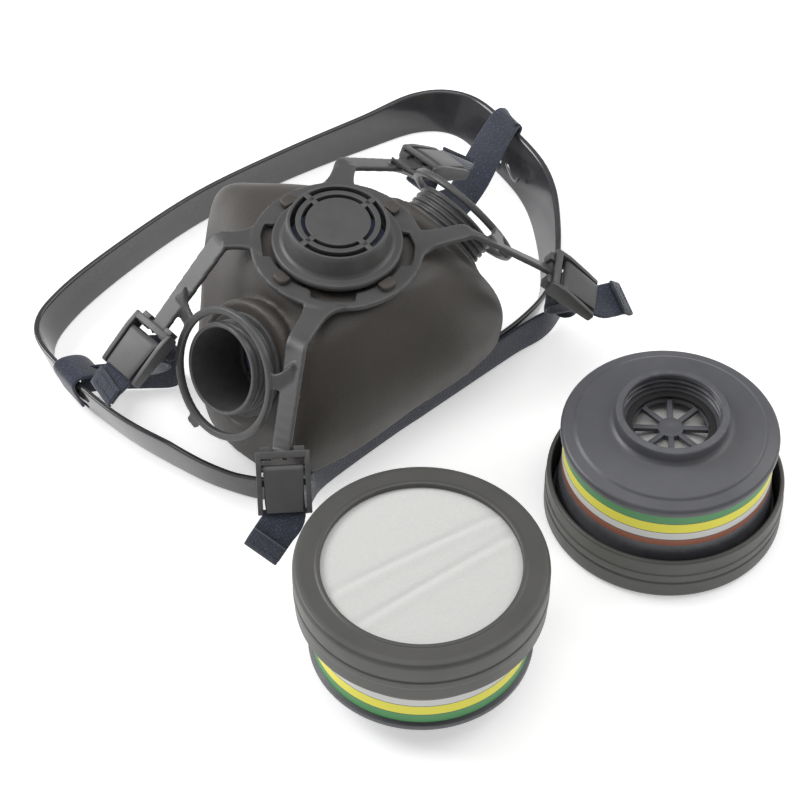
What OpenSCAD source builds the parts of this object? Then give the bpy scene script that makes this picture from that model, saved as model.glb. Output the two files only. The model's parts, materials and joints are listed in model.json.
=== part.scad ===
// Half-mask respirator with two combination cartridges, lying on a table.
// The facepiece lies face down with its exhalation valve up (+Z) and its nose end towards +Y.
// left_ and right_ are the wearer's sides: the wearer's left is +X.

/* [Facepiece] */
// Width of the rubber facepiece at the cheeks
facepiece_w = 120; // [108:1:144]
// Length of the facepiece from chin to nose
facepiece_l = 122; // [110:1:146]
// Height of the valve plane above the table
facepiece_h = 79; // [72:1:92]
// Thickness of the rubber wall
wall = 2.4; // [2:0.1:3.2]
// Width of the in-turned face seal
seal_w = 13; // [9:1:16]

/* [Exhalation valve] */
// Radius of the hole for the valve body
valve_hole_r = 22.5; // [20:0.5:24]
// Distance of the valve axis from the middle of the ports, towards the nose
valve_y = 2.5; // [0:0.5:6]
// Tilt of the valve axis towards the chin, in degrees
valve_tilt = 4; // [0:1:8]
// Height of the cover above the yoke
cover_h = 13; // [10:0.5:16]
// Radius of the cover's flat top
cover_top_r = 20; // [18:0.5:21.5]
// Lift of the exhalation flap when it is open
flap_lift = 2.2; // [1.5:0.1:3]

/* [Inlet ports] */
// Radius over the port thread
port_r = 18.4; // [16:0.1:20]
// Radius of the air bore in a port
port_bore_r = 15.6; // [13:0.1:17]
// Length of the threaded part of a port
port_thread_l = 11; // [9:0.5:14]
// Distance of a port's rim out from the cheek's widest point
port_lead = 3.4; // [1:0.2:6]
// Height of a port rim's centre above the table
port_z = 57; // [52:1:64]
// Angle of a port above the horizontal, in degrees
port_rise = 24; // [15:1:32]
// Stroke of an inhalation flap
inhale_lift = 2; // [1:0.1:2.6]

/* [Yoke] */
// Outer radius of the yoke's centre ring
yoke_r = 34; // [32:0.5:36]
// Thickness of the yoke
yoke_t = 2.2; // [1.8:0.1:2.8]
// Width of a yoke arm
arm_w = 8; // [7:0.5:10]
// Outer radius of the rings round the ports
ring_r = 26.5; // [25:0.5:28.5]

/* [Buckles] */
// Width of a buckle
buckle_w = 20.5; // [19.5:0.5:24.5]
// Length of a buckle from its pivot
buckle_l = 23; // [22:0.5:27]
// Radius of the pivot bar at an arm's end
pivot_r = 1.5; // [1.2:0.1:1.8]

/* [Straps] */
// Width of the elastic strap
strap_w = 15; // [12:0.5:15]
// Thickness of the elastic strap
strap_t = 1.3; // [0.8:0.1:1.5]

/* [Cradle] */
// Height of the cradle band
cradle_h = 18; // [15:0.5:22]
// Thickness of the cradle band
cradle_t = 2.4; // [2:0.1:3]

/* [Cartridge] */
// Outer radius of the filter retainer
retainer_r = 47; // [44:0.5:50]
// Height of the filter retainer
retainer_h = 21; // [18:0.5:24]
// Radius of the cartridge case
case_r = 41; // [36:0.5:42]
// Height of a cartridge
cartridge_h = 56.5; // [52:0.5:62]
// Radius of the opening in front of the pad
aperture_r = 36.8; // [30:0.2:38]
// Wall of the case
case_wall = 1.8; // [1.4:0.1:2.2]
// Thickness of the particulate pad
pad_t = 3.6; // [2.5:0.1:5]

/* [Hidden] */
$fn = 96;

gap = 0.3;
running = 0.06;
// Length of the pivot bar between the buckle's ears
bar_len = buckle_w - 5.5;
thread_gap = 0.3;
collar_wall = 3.2;
groove_depth = 0.9;
thread_pitch = 2.6;

rubber = [0.27, 0.26, 0.24];
moulded = [0.33, 0.33, 0.34];
webbing = [0.15, 0.18, 0.25];
glossy = [0.21, 0.21, 0.23];
case_grey = [0.34, 0.35, 0.37];

// ---- small helpers ----
function unit(v) = v / norm(v);
function mirror_x(p) = [-p.x, p.y, p.z];
function spline(a, b, c, d, t) =
    0.5 * (2 * b + (c - a) * t + (2 * a - 5 * b + 4 * c - d) * t * t + (3 * b - a - 3 * c + d) * t * t * t);
// A smooth closed curve through points p, with n steps from one point to the next
function closed_curve(p, n) = let (m = len(p))
    [for (i = [0:m - 1], k = [0:n - 1])
        spline(p[(i + m - 1) % m], p[i], p[(i + 1) % m], p[(i + 2) % m], k / n)];
// A smooth open curve through points p
function open_curve(p, n) = let (m = len(p))
    concat([for (i = [0:m - 2], k = [0:n - 1])
        spline(p[max(i - 1, 0)], p[i], p[i + 1], p[min(i + 2, m - 1)], k / n)], [p[m - 1]]);

// Children are drawn in a frame at o whose X is along x and whose Z is as near n as it can be
module in_frame(o, x, n) {
    ex = unit(x);
    ey = unit(cross(n, ex));
    ez = cross(ex, ey);
    multmatrix([
        [ex.x, ey.x, ez.x, o.x],
        [ex.y, ey.y, ez.y, o.y],
        [ex.z, ey.z, ez.z, o.z],
        [0, 0, 0, 1]
    ]) children();
}

// A closed surface from equal rings of points; the last ring joins the first when wrapped
module skin(rings, wrapped) {
    m = len(rings[0]);
    k = len(rings);
    sides = [for (i = [0:k - (wrapped ? 1 : 2)], j = [0:m - 1]) let (
        a = i * m + j, b = i * m + (j + 1) % m,
        c = ((i + 1) % k) * m + (j + 1) % m, d = ((i + 1) % k) * m + j)
        each [[a, b, c], [a, c, d]]];
    ends = wrapped ? [] : [
        [for (j = [m - 1:-1:0]) j],
        [for (j = [0:m - 1]) (k - 1) * m + j]
    ];
    polyhedron(points = [for (r = rings) each r], faces = concat(sides, ends), convexity = 8);
}

// Four corners of a flat strip's section: p is its middle, w its width direction, n its normal
function strip_section(p, w, n, width, t) = [
    p + w * width / 2 - n * t / 2, p + w * width / 2 + n * t / 2,
    p - w * width / 2 + n * t / 2, p - w * width / 2 - n * t / 2
];
// A strap along points p, whose width lies as near the directions w as it can
module ribbon(p, w, width, t) {
    m = len(p);
    rings = [for (i = [0:m - 1]) let (
        along = unit(p[min(i + 1, m - 1)] - p[max(i - 1, 0)]),
        across = unit(w[i] - along * (w[i] * along)))
        strip_section(p[i], across, cross(along, across), width, t)];
    skin(rings, false);
}

// ---- facepiece ----
half_w = facepiece_w / 2;
nose_y = 78;
size_x = half_w / 60;
size_z = facepiece_h / 79;
// A point of the net, given on a facepiece 120 wide, 122 long and 79 high
function net(x, y, z) = [x * size_x, nose_y - (nose_y - y) * facepiece_l / 122, z * size_z];
lip_row = [
    net(0, -42, 20), net(30, -42, 19), net(53, -36, 16.5), net(59, -22, 11), net(59, 0, 6),
    net(55, 20, 3), net(45, 38, 0.4), net(31, 54, 3), net(15, 68, 14), net(0, 75, 26)
];
belly_row = [
    net(0, -44, 33), net(30, -43.5, 33), net(54, -37, 32), net(61, -23, 31), net(60, -2, 28),
    net(55, 20, 27), net(45, 38, 28), net(31, 53, 34), net(15, 69, 42), net(0, 78, 50)
];
shoulder_row = [
    net(0, -41, 51), net(27, -40.5, 50), net(47, -34, 50), net(54, -20, 48), net(51, -1, 45),
    net(46, 18, 45), net(39, 34, 47), net(27, 49, 53), net(13, 64, 60), net(0, 72, 65)
];
crown_row = [
    net(0, -33, 68), net(22, -32, 68), net(37, -25, 67), net(42, -11, 65), net(38, 3, 64),
    net(36, 17, 65), net(31, 30, 68), net(22, 42, 71), net(11, 52, 73), net(0, 56, 74)
];
function valve_point(r, a, z) = [
    r * cos(a),
    valve_y + r * sin(a) * cos(valve_tilt) - z * sin(valve_tilt),
    facepiece_h + r * sin(a) * sin(valve_tilt) + z * cos(valve_tilt)
];
function valve_row(r, z = 0) = [for (j = [0:9]) valve_point(r, -90 + 20 * j, z)];
function whole_row(half) = concat(half, [for (j = [8:-1:1]) mirror_x(half[j])]);
net_rows = [for (r = [lip_row, belly_row, shoulder_row, crown_row, valve_row(yoke_r - 0.5, -2.4),
    valve_row(yoke_r - 5, -0.6), valve_row(valve_hole_r + gap, -0.3)]) closed_curve(whole_row(r), 3)];
net_columns = [for (j = [0:len(net_rows[0]) - 1]) open_curve([for (r = net_rows) r[j]], 3)];
outer_rings = [for (k = [0:len(net_columns[0]) - 1]) [for (c = net_columns) c[k]]];
function ring_normal(k, j) = let (m = len(outer_rings[0]), last = len(outer_rings) - 1)
    unit(cross(
        outer_rings[k][(j + 1) % m] - outer_rings[k][(j + m - 1) % m],
        outer_rings[min(k + 1, last)][j] - outer_rings[max(k - 1, 0)][j]));
inner_rings = [for (k = [0:len(outer_rings) - 1]) [for (j = [0:len(outer_rings[0]) - 1])
    outer_rings[k][j] - wall * ring_normal(k, j)]];
function seal_edge(p, d, z) = let (c = [0, 20, p.z], v = unit(c - p)) p + v * d + [0, 0, z];

port_x = half_w + port_lead;
boss_r = port_r + 5;
boss_front = -port_thread_l - 1.6;
boss_back = boss_front - 15;
module at_valve() { translate([0, valve_y, facepiece_h]) rotate([valve_tilt, 0, 0]) children(); }
// Children are drawn with +Z out of the port and the rim's centre at the origin
module at_left_port() { translate([port_x, 0, port_z]) rotate([0, 90 - port_rise, 0]) children(); }
module at_port(side) { mirror([side < 0 ? 1 : 0, 0, 0]) at_left_port() children(); }

lug_angles = [0, 90, 180, 270];
// A flat-sided round bar of the facepiece, whose flats touch a circle of radius r
boss_sides = 36;
module rubber_round(r, h) {
    step = 360 / boss_sides;
    corner_r = r / cos(step / 2);
    linear_extrude(h) polygon([for (a = [0:step:360 - step]) corner_r * [cos(a), sin(a)]]);
}
module facepiece() {
    last = len(outer_rings) - 1;
    rings = concat(
        [[for (p = outer_rings[0]) seal_edge(p, seal_w, 2)], [for (p = outer_rings[0]) seal_edge(p, seal_w, 3.4)]],
        [for (k = [1:last]) inner_rings[k]],
        [for (k = [last:-1:0]) outer_rings[k]]
    );
    color(rubber) placed() {
        difference() {
            union() {
                skin(rings, true);
                for (side = [-1, 1]) at_port(side) translate([0, 0, boss_back])
                    rubber_round(boss_r, boss_front - boss_back);
            }
            for (side = [-1, 1]) at_port(side) translate([0, 0, boss_back - 12])
                rubber_round(port_r + 0.8, 40);
        }
        for (a = lug_angles) at_valve() rotate([0, 0, a]) translate([yoke_r - 6.2, -3.5, -1])
            cube([2.4, 7, yoke_t + 2.4]);
    }
}

// ---- inlet ports ----
flap_z = boss_back - 1;
module inlet_port(side) {
    color(moulded) placed() at_port(side) difference() {
        union() {
            difference() {
                rotate_extrude() polygon([
                    [port_bore_r, flap_z], [port_r + 0.7, flap_z], [port_r + 0.7, boss_front + 0.1],
                    [port_r + 2.4, boss_front + 0.1], [port_r + 2.4, -port_thread_l], [port_r, -port_thread_l],
                    [port_r, -0.6], [port_r - 0.6, 0], [port_bore_r + 0.4, 0], [port_bore_r, -0.8]
                ]);
                for (k = [1:floor((port_thread_l - 2) / thread_pitch)]) translate([0, 0, -k * thread_pitch])
                    rotate_extrude() polygon([
                        [port_r - groove_depth, -0.5], [port_r + 1, -1], [port_r + 1, 1], [port_r - groove_depth, 0.5]
                    ]);
            }
            translate([0, 0, flap_z + 1.2]) {
                cylinder(r = 3, h = 1.8);
                for (a = [30, 150, 270]) rotate([0, 0, a]) translate([0, -0.9, 0])
                    cube([port_bore_r + 0.5, 1.8, 1.8]);
                difference() {
                    cylinder(r = port_bore_r + 0.5, h = 1.8);
                    translate([0, 0, -1]) cylinder(r = port_bore_r - 1.6, h = 4);
                }
            }
        }
    }
}
module inhalation_flap(side) {
    color([0.4, 0.44, 0.55]) placed() at_port(side) translate([0, 0, flap_z + 1.2 - gap - 0.8])
        cylinder(r = port_bore_r - 0.5, h = 0.8);
}

// ---- exhalation valve ----
body_r = valve_hole_r - 0.1;
seat_z = 1;
module exhalation_valve_body() {
    color(moulded) placed() at_valve() {
        rotate_extrude() polygon([
            [body_r - 3.4, -wall - 3], [body_r + 2, -wall - 3], [body_r + 2, -wall - 0.8], [body_r, -wall - 0.8],
            [body_r, yoke_t + 2.6], [body_r - 2, yoke_t + 2.6], [body_r - 2, seat_z], [body_r - 3.4, seat_z]
        ]);
        translate([0, 0, seat_z - 2.3]) {
            cylinder(r = 3.2, h = 2);
            for (a = [0:60:300]) rotate([0, 0, a]) translate([2, -0.8, 0]) cube([body_r - 4.8, 1.6, 1.8]);
        }
    }
}
module exhalation_flap() {
    color([0.36, 0.38, 0.42]) placed() at_valve() translate([0, 0, seat_z + 0.1])
        cylinder(r = body_r - 2.5, h = 0.9);
}
cover_z = yoke_t + 0.5;
cover_top = yoke_t + cover_h;
flange_r = valve_hole_r + 3.4;
slot_w = 1.8;
rim_w = 2;
module exhalation_cover() {
    color(moulded) placed() at_valve() difference() {
        rotate_extrude() {
            polygon([
                [body_r + 0.2, cover_z], [flange_r - 0.8, cover_z], [flange_r, cover_z + 0.8],
                [flange_r, cover_z + 2.6], [flange_r - 0.9, cover_z + 3.6], [cover_top_r + 1.2, cover_top - 2],
                [cover_top_r, cover_top], [0, cover_top], [0, cover_top - 2.4], [cover_top_r - 2.4, cover_top - 2.4],
                [body_r + 0.2, cover_z + 3]
            ]);
        }
        // Two rings of slots, parted by four spokes
        for (r = [cover_top_r - slot_w - rim_w, cover_top_r - 2 * slot_w - rim_w - 3.5]) difference() {
            translate([0, 0, cover_top - 5]) difference() {
                cylinder(r = r + slot_w, h = 8);
                translate([0, 0, -1]) cylinder(r = r, h = 10);
            }
            for (a = [0, 90]) rotate([0, 0, a]) translate([-30, -1.2, cover_top - 6]) cube([60, 2.4, 10]);
        }
    }
}

// ---- yoke ----
function low_bend() = [45 * size_x, -25, facepiece_h - 1];
function up_bend() = [33 * size_x, 34, facepiece_h + 3];
function low_end() = [port_x + 8.4, -46, port_z - 4.3];
function up_end() = [port_x + 6.1, 30.6, port_z + 4];
function low_dir() = unit([0.5, -0.62, -0.6]);
function up_dir() = unit([0.88, 0, -0.47]);
// Centre of the ring round the left port, and its outward normal
function ring_at(side) = [port_x + (side > 0 ? 0.7 : 0.4), -2.7, port_z + (side > 0 ? 2.4 : 0)];
ring_n = [cos(port_rise), 0, sin(port_rise)];

// How much wider than its arm a knuckle is
knuckle = 0.7;
// A disc with 36 flats, turned so that none of its corners lies on an arm's side
module flat_disc(d) {
    polygon([for (a = [0:10:350]) d / 2 * [cos(a + 3), sin(a + 3)]]);
}
// A flat tapering strip from p to q, with a round knuckle at each end
module bar(p, q, n, w1, w2) {
    l = norm(q - p);
    in_frame(p, q - p, n) translate([0, 0, -yoke_t / 2]) linear_extrude(yoke_t) union() {
        polygon([[0, -w1 / 2], [l, -w2 / 2], [l, w2 / 2], [0, w1 / 2]]);
        flat_disc(w1 + knuckle);
        translate([l, 0]) flat_disc(w2 + knuckle);
    }
}
// The first stretch of an arm, which widens where it leaves the centre ring
module arm_root(angle, q) {
    p = valve_point(yoke_r - 5, angle, 0.5);
    w = arm_w + 1;
    l = norm(q - p);
    in_frame(p, q - p, [0, 0, 1]) translate([0, 0, -yoke_t / 2]) linear_extrude(yoke_t) union() {
        polygon([[0, -w / 2], [2, -w], [6, -w * 0.75], [12, -w / 2], [l, -w / 2],
            [l, w / 2], [12, w / 2], [6, w * 0.75], [2, w], [0, w / 2]]);
        translate([l, 0]) flat_disc(w + knuckle);
    }
}
module half_yoke(side) {
    ring_at = ring_at(side);
    lb = low_bend();
    ub = up_bend();
    le = low_end() - low_dir() * 2.5;
    ue = up_end() - up_dir() * 2.5;
    n_side = [0.7, 0, 0.7];
    arm_root(-38, lb);
    arm_root(48, ub);
    bar(lb, le, n_side, arm_w + 1, arm_w);
    bar(ub, ue, n_side, arm_w + 1, arm_w);
    for (arm = [[low_end(), low_dir()], [up_end(), up_dir()]])
        in_frame(arm[0], arm[1], [0, 0, 1]) {
            translate([-4, -arm_w / 2 + 0.6, -yoke_t / 2]) cube([4, arm_w - 1.2, yoke_t]);
            rotate([90, 0, 0]) cylinder(r = pivot_r, h = bar_len, center = true, $fn = 48);
        }
    // The ring round the port, its two webs to the arms and its finger nub
    low_web = lb + (le - lb) * 0.38;
    up_web = ub + (ue - ub) * 0.72;
    in_frame(ring_at, [0, 1, 0], ring_n) {
        rotate_extrude() translate([ring_r - 1.5, 0]) square([3, 3], center = true);
        rotate([0, 0, 205]) translate([ring_r - 0.6, -2.4, -1.5]) cube([3.4, 4.8, 3]);
    }
    for (web = [low_web, up_web]) {
        inward = unit(web - ring_at - ring_n * ((web - ring_at) * ring_n));
        bar(web, ring_at + inward * (ring_r + 1.2), ring_n, arm_w, arm_w - 2);
    }
}
module yoke() {
    color(moulded) placed() {
        at_valve() difference() {
            cylinder(r = yoke_r, h = yoke_t);
            translate([0, 0, -1]) cylinder(r = flange_r + 0.4, h = yoke_t + 2);
            for (a = lug_angles) rotate([0, 0, a]) translate([yoke_r - 6.5, -3.8, -1]) cube([3, 7.6, yoke_t + 2]);
            for (a = [45, 135, 225, 315]) rotate([0, 0, a]) translate([flange_r - 2, -9, -1])
                cube([5, 18, yoke_t + 2]);
        }
        half_yoke(1);
        mirror([1, 0, 0]) half_yoke(-1);
    }
}

// ---- buckles: X runs out from the pivot, Z faces away from the mask ----
rail_y = buckle_w / 2 - 2;
lever_x = 6;
lever_z = 2.2;
module at_buckle(side, level) {
    o = level > 0 ? up_end() : low_end();
    d = level > 0 ? up_dir() : low_dir();
    mirror([side < 0 ? 1 : 0, 0, 0]) in_frame(o, d, [0, 0, 1]) children();
}
module buckle(side, level) {
    color(moulded) placed() at_buckle(side, level) difference() {
        union() {
            for (s = [-1, 1]) {
                // Side rails, high at the pivot and low at the far end
                translate([0, s * (rail_y + 1) + 1, 0]) rotate([90, 0, 0]) linear_extrude(2)
                    polygon([[-0.8, -1.2], [1, -2.4], [buckle_l, -2.4], [buckle_l, 1.4], [6, 4.2], [-0.8, 4.2]]);
                // Ears round the pivot bar
                translate([-2.3, s > 0 ? arm_w / 2 + 0.4 : -rail_y - 0.1, -2.4])
                    cube([4.9, rail_y - arm_w / 2 - 0.3, 4.8]);
            }
            translate([buckle_l - 2.2, -rail_y - 0.5, -2.4]) cube([2.2, 2 * rail_y + 1, 1.3]);
            translate([10, -rail_y - 0.5, -2.4]) cube([2.4, 2 * rail_y + 1, 1.6]);
            translate([4.2, -rail_y - 0.5, -2.4]) cube([1.8, 2 * rail_y + 1, 1.6]);
        }
        rotate([90, 0, 0]) cylinder(r = pivot_r + running, h = bar_len + 2 * gap, center = true, $fn = 48);
        translate([lever_x, 0, lever_z]) rotate([90, 0, 0])
            cylinder(r = 1 + running, h = buckle_w + 2, center = true, $fn = 48);
    }
}
module lever(side, level) {
    color(moulded) placed() at_buckle(side, level) {
        rotate([90, 0, 0]) translate([0, 0, -rail_y + gap]) linear_extrude(2 * (rail_y - gap))
            polygon([
                [lever_x - 1.4, lever_z - 0.6], [lever_x, lever_z - 1.2], [lever_x + 2, lever_z - 0.7],
                [buckle_l - 0.6, 1.1], [buckle_l - 0.6, 2.3], [lever_x, lever_z + 1.6], [lever_x - 1.4, lever_z + 1]
            ]);
        translate([lever_x, 0, lever_z]) rotate([90, 0, 0])
            cylinder(r = 1, h = buckle_w - 1, center = true, $fn = 48);
    }
}
// The strap inside the buckle: up between the bars, under the lever and out as a tail
// Its last stretch is skewed towards +Y of the buckle by an angle
function tail_path(skew) = concat(
    [[8, 0, -6.5], [8, 0, -3.8], [8.1, 0, -1.9], [9, 0, -0.3], [12, 0, 0.1], [18, 0, 0.1], [buckle_l + 1, 0, 0.1]],
    [for (q = [[6, 0], [11, -1.8], [15, -4.6]]) [buckle_l + 1 + q[0] * cos(skew), q[0] * sin(skew), q[1]]]
);
// A point below the buckle where its strap comes up, in the mask's frame
function under_buckle(level, z) = let (
    d = level > 0 ? up_dir() : low_dir(), o = level > 0 ? up_end() : low_end(),
    n = unit([0, 0, 1] - d * d.z)) o + d * 8 + n * z;
module strap_end(side, level) {
    skew = level > 0 ? 30 : 38;
    p = open_curve(tail_path(skew), 3);
    color(webbing) placed() at_buckle(side, level)
        ribbon(p, [for (q = p) q.x > buckle_l + 2 ? [-sin(skew), cos(skew), 0] : [0, 1, 0]], strap_w, strap_t);
}

// ---- cradle and straps ----
// Middle of the band's foot, and how far its top leans out
cradle_plan = [
    [-84, 76, 4], [-78, 97, 5], [-60, 108, 3], [-25, 115, 1], [20, 118, 0], [65, 113, 0], [106, 104, 2],
    [132, 96, 6], [143, 82, 9], [141, 60, 10], [134, 30, 10], [118, 4, 8], [97, -18, 5], [72, -28.5, 1],
    [35, -29.5, 0], [-8, -29.5, 0], [-40, -30.5, 0], [-60, -26.5, 0], [-71.5, -8, 2], [-78, 14, 4], [-83, 42, 5]
];
cradle_line = closed_curve(cradle_plan, 4);
band_low = 12.6;
function band_height(p) = p.y < -12 ? band_low : min(cradle_h, band_low + (p.y + 12) / 5);
cradle_rings = [for (i = [0:len(cradle_line) - 1]) let (
    m = len(cradle_line), p = cradle_line[i],
    q = cradle_line[(i + 1) % m] - cradle_line[(i + m - 1) % m],
    out = unit([q.y, -q.x, 0]) * -1,
    foot = [p.x, p.y, 0], h = band_height(p), top = foot + out * p.z + [0, 0, h],
    n = out * cradle_t / 2)
    [foot - n, foot + n, top + n, top - n]];
first_at = [-71, -122, 0];
second_at = [49.8, -133.3, 0];
// The footprint of the cradle and both cartridges, in whose middle the model stands
x_low = min(min([for (r = cradle_rings) each [for (p = r) p.x]]), first_at.x - retainer_r);
x_high = max(max([for (r = cradle_rings) each [for (p = r) p.x]]), second_at.x + retainer_r);
y_high = max([for (r = cradle_rings) each [for (p = r) p.y]]);
y_low = min(first_at.y, second_at.y) - retainer_r;
module placed() { translate([-(x_low + x_high) / 2, -(y_low + y_high) / 2, 0]) children(); }

module head_cradle() { color(glossy) placed() skin(cradle_rings, true); }

module strap(points, across) {
    p = open_curve(points, 4);
    w = open_curve(across, 4);
    color(webbing) placed() ribbon(p, w, strap_w, strap_t);
}
module right_upper_strap() {
    strap(concat([[-83, 69, 11], [-72, 64, 9], [-61, 55, 8.6], [-52, 48, 8.6], [-46, 50, 9], [-49, 57, 12],
        [-58, 56, 19], [-69, 47, 30]], [for (z = [-15, -12]) mirror_x(under_buckle(1, z))]),
        [[0, 0, 1], [0, 0, 1], [0, 0, 1], [0, 0, 1], [0, 0, 1], [0, 0, 1], [0.3, 0.4, 1], [0, 1, 0.5], [0, 1, 0.1],
        [0, 1, 0]]);
}
module left_upper_strap() {
    strap(concat([[138, 54, 19], [127, 49, 17.5], [113, 43, 15], [101, 39, 14.5], [91, 38, 19], [83, 35, 32]],
        [for (z = [-15, -12]) under_buckle(1, z)]),
        [[0.6, -0.8, 0], [0.5, -0.8, -0.1], [0.3, -0.7, -0.6], [0.2, -0.6, -0.8], [0.1, -0.8, -0.6], [0, -1, -0.2],
        [0, -1, 0], [0, -1, 0]]);
}
module neck_strap() {
    strap(concat([for (z = [-12, -15]) mirror_x(under_buckle(-1, z))],
        [[-64, -45, 22], [-54, -39, 11], [-41, -34.5, 8.4], [-5, -33.5, 8.4], [30, -34, 8.4], [64, -34.5, 8.4],
        [80, -36, 9], [89, -38, 15], [87, -42, 25]], [for (z = [-15, -12]) under_buckle(-1, z)]),
        [[0.8, -0.6, 0], [0.8, -0.6, 0], [0.5, -0.4, 0.8], [0, 0, 1], [0, 0, 1], [0, 0, 1], [0, 0, 1], [0, 0, 1],
        [0, 0, 1], [-0.2, -0.5, 0.8], [-0.5, -0.7, 0.3], [-0.8, -0.6, 0], [-0.8, -0.6, 0]]);
}

// ---- cartridge: Z runs from the pad's face at 0 to the collar's mouth ----
collar_r = port_r + thread_gap;
collar_outer = collar_r + collar_wall;
dome_z = cartridge_h - 13.5;
dome_r = case_r + 1.3;
collar_base = cartridge_h - 6;
ledge_z = cartridge_h - 9.5;
seat_top = ledge_z + 1.8;
pad_z = 2.2;
case_foot = pad_z + pad_t + gap;
screen_z = case_foot + 3;
bed_z = screen_z + 2;
fleece_z = dome_z - 3;
label_low = retainer_h + 3.5;
label_high = dome_z - 0.8;
module at_cartridge(which) {
    if (which == 1) translate(first_at + [0, 0, cartridge_h]) rotate([180, 0, 20]) children();
    else translate(second_at) children();
}
module cartridge_case(which) {
    color(case_grey) placed() at_cartridge(which) {
        difference() {
            rotate_extrude() polygon([
                [case_r - case_wall, case_foot], [case_r + 2.6, case_foot], [case_r + 2.6, case_foot + 2.4],
                [case_r, case_foot + 2.4], [case_r, label_low - 0.5], [case_r, label_low], [case_r - 0.4, label_low],
                [case_r - 0.4, label_high], [case_r, label_high], [dome_r, dome_z], [dome_r, dome_z + 2.2],
                [dome_r - 1.6, dome_z + 3.6], [collar_outer + 1.4, collar_base - 0.6], [collar_outer, collar_base + 0.8],
                [collar_outer, cartridge_h - 0.8], [collar_outer - 0.8, cartridge_h], [collar_r + 0.5, cartridge_h],
                [collar_r, cartridge_h - 0.6], [collar_r, seat_top], [collar_r - 1.2, seat_top],
                [collar_r - 1.2, ledge_z], [collar_r - 4.2, ledge_z], [collar_r - 4.2, ledge_z - 2],
                [collar_outer, ledge_z - 2], [case_r - 3, dome_z], [case_r - case_wall, dome_z - 2]
            ]);
            for (k = [1:2]) translate([0, 0, cartridge_h - 0.8 - k * thread_pitch]) rotate_extrude() polygon([
                [collar_r - 1, -1], [collar_r + groove_depth, -0.5], [collar_r + groove_depth, 0.5], [collar_r - 1, 1]
            ]);
        }
        // The grid at the foot of the collar
        translate([0, 0, ledge_z - 2]) {
            cylinder(r = 5, h = 2);
            for (a = [0:45:315]) rotate([0, 0, a]) translate([4, -1.1, 0]) cube([collar_r - 7, 2.2, 2]);
        }
    }
}
module gasket(which) {
    color([0.12, 0.12, 0.12]) placed() at_cartridge(which) translate([0, 0, ledge_z + 0.05]) difference() {
        cylinder(r = collar_r - 1.3, h = 1.6);
        translate([0, 0, -1]) cylinder(r = collar_r - 4, h = 4);
    }
}
module disc(which, z, r, h, shade) {
    color(shade) placed() at_cartridge(which) translate([0, 0, z]) cylinder(r = r, h = h);
}
inside_r = case_r - case_wall - 0.2;
module inner_fleece(which) { disc(which, fleece_z, inside_r, 1, [0.85, 0.85, 0.83]); }
module carbon_bed(which) { disc(which, bed_z, inside_r, fleece_z - bed_z - 0.2, [0.08, 0.08, 0.08]); }
module screen(which) {
    color(case_grey) placed() at_cartridge(which) translate([0, 0, screen_z]) difference() {
        cylinder(r = inside_r, h = 1.6);
        for (r = [8, 16, 24, 32], a = [0:45:315]) rotate([0, 0, a + r])
            translate([r, 0, -1]) cylinder(r = 2, h = 4, $fn = 24);
    }
}
module label(which) {
    color([0.9, 0.85, 0.2]) placed() at_cartridge(which) translate([0, 0, label_low + 0.2]) difference() {
        cylinder(r = case_r - 0.05, h = label_high - label_low - 0.4);
        translate([0, 0, -1]) cylinder(r = case_r - 0.35, h = label_high - label_low + 2);
    }
}
module pad(which) { disc(which, pad_z, case_r + 2, pad_t, [0.86, 0.86, 0.85]); }
module retainer(which) {
    color([0.31, 0.31, 0.29]) placed() at_cartridge(which) rotate_extrude() polygon([
        [aperture_r, 0.4], [aperture_r + 0.6, 0], [retainer_r - 1.6, 0], [retainer_r, 1.6], [retainer_r, 9],
        [retainer_r - 1, 9.6], [retainer_r - 1, 10.4], [retainer_r, 11], [retainer_r, retainer_h - 1],
        [retainer_r - 1, retainer_h], [retainer_r - 2.4, retainer_h], [retainer_r - 2.4, pad_z - 0.1],
        [aperture_r, pad_z - 0.1]
    ]);
}

facepiece();
inlet_port(-1);  // right_inlet_port
inlet_port(1);  // left_inlet_port
inhalation_flap(-1);  // right_inhalation_flap
inhalation_flap(1);  // left_inhalation_flap
exhalation_valve_body();
exhalation_flap();
exhalation_cover();
yoke();
buckle(-1, 1);  // right_upper_buckle
buckle(-1, -1);  // right_lower_buckle
buckle(1, 1);  // left_upper_buckle
buckle(1, -1);  // left_lower_buckle
lever(-1, 1);  // right_upper_lever
lever(-1, -1);  // right_lower_lever
lever(1, 1);  // left_upper_lever
lever(1, -1);  // left_lower_lever
strap_end(-1, 1);  // right_upper_strap_end
strap_end(-1, -1);  // right_lower_strap_end
strap_end(1, 1);  // left_upper_strap_end
strap_end(1, -1);  // left_lower_strap_end
right_upper_strap();
left_upper_strap();
neck_strap();
head_cradle();
cartridge_case(1);  // first_case
gasket(1);  // first_gasket
inner_fleece(1);  // first_inner_fleece
carbon_bed(1);  // first_carbon_bed
screen(1);  // first_screen
label(1);  // first_label
pad(1);  // first_pad
retainer(1);  // first_retainer
cartridge_case(2);  // second_case
gasket(2);  // second_gasket
inner_fleece(2);  // second_inner_fleece
carbon_bed(2);  // second_carbon_bed
screen(2);  // second_screen
label(2);  // second_label
pad(2);  // second_pad
retainer(2);  // second_retainer
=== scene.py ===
"""A half-mask respirator and its two loose cartridges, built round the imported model."""
import json
import math

import bmesh
import bpy
from bpy.props import FloatProperty, FloatVectorProperty, PointerProperty
from mathutils import Matrix, Vector, noise


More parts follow.
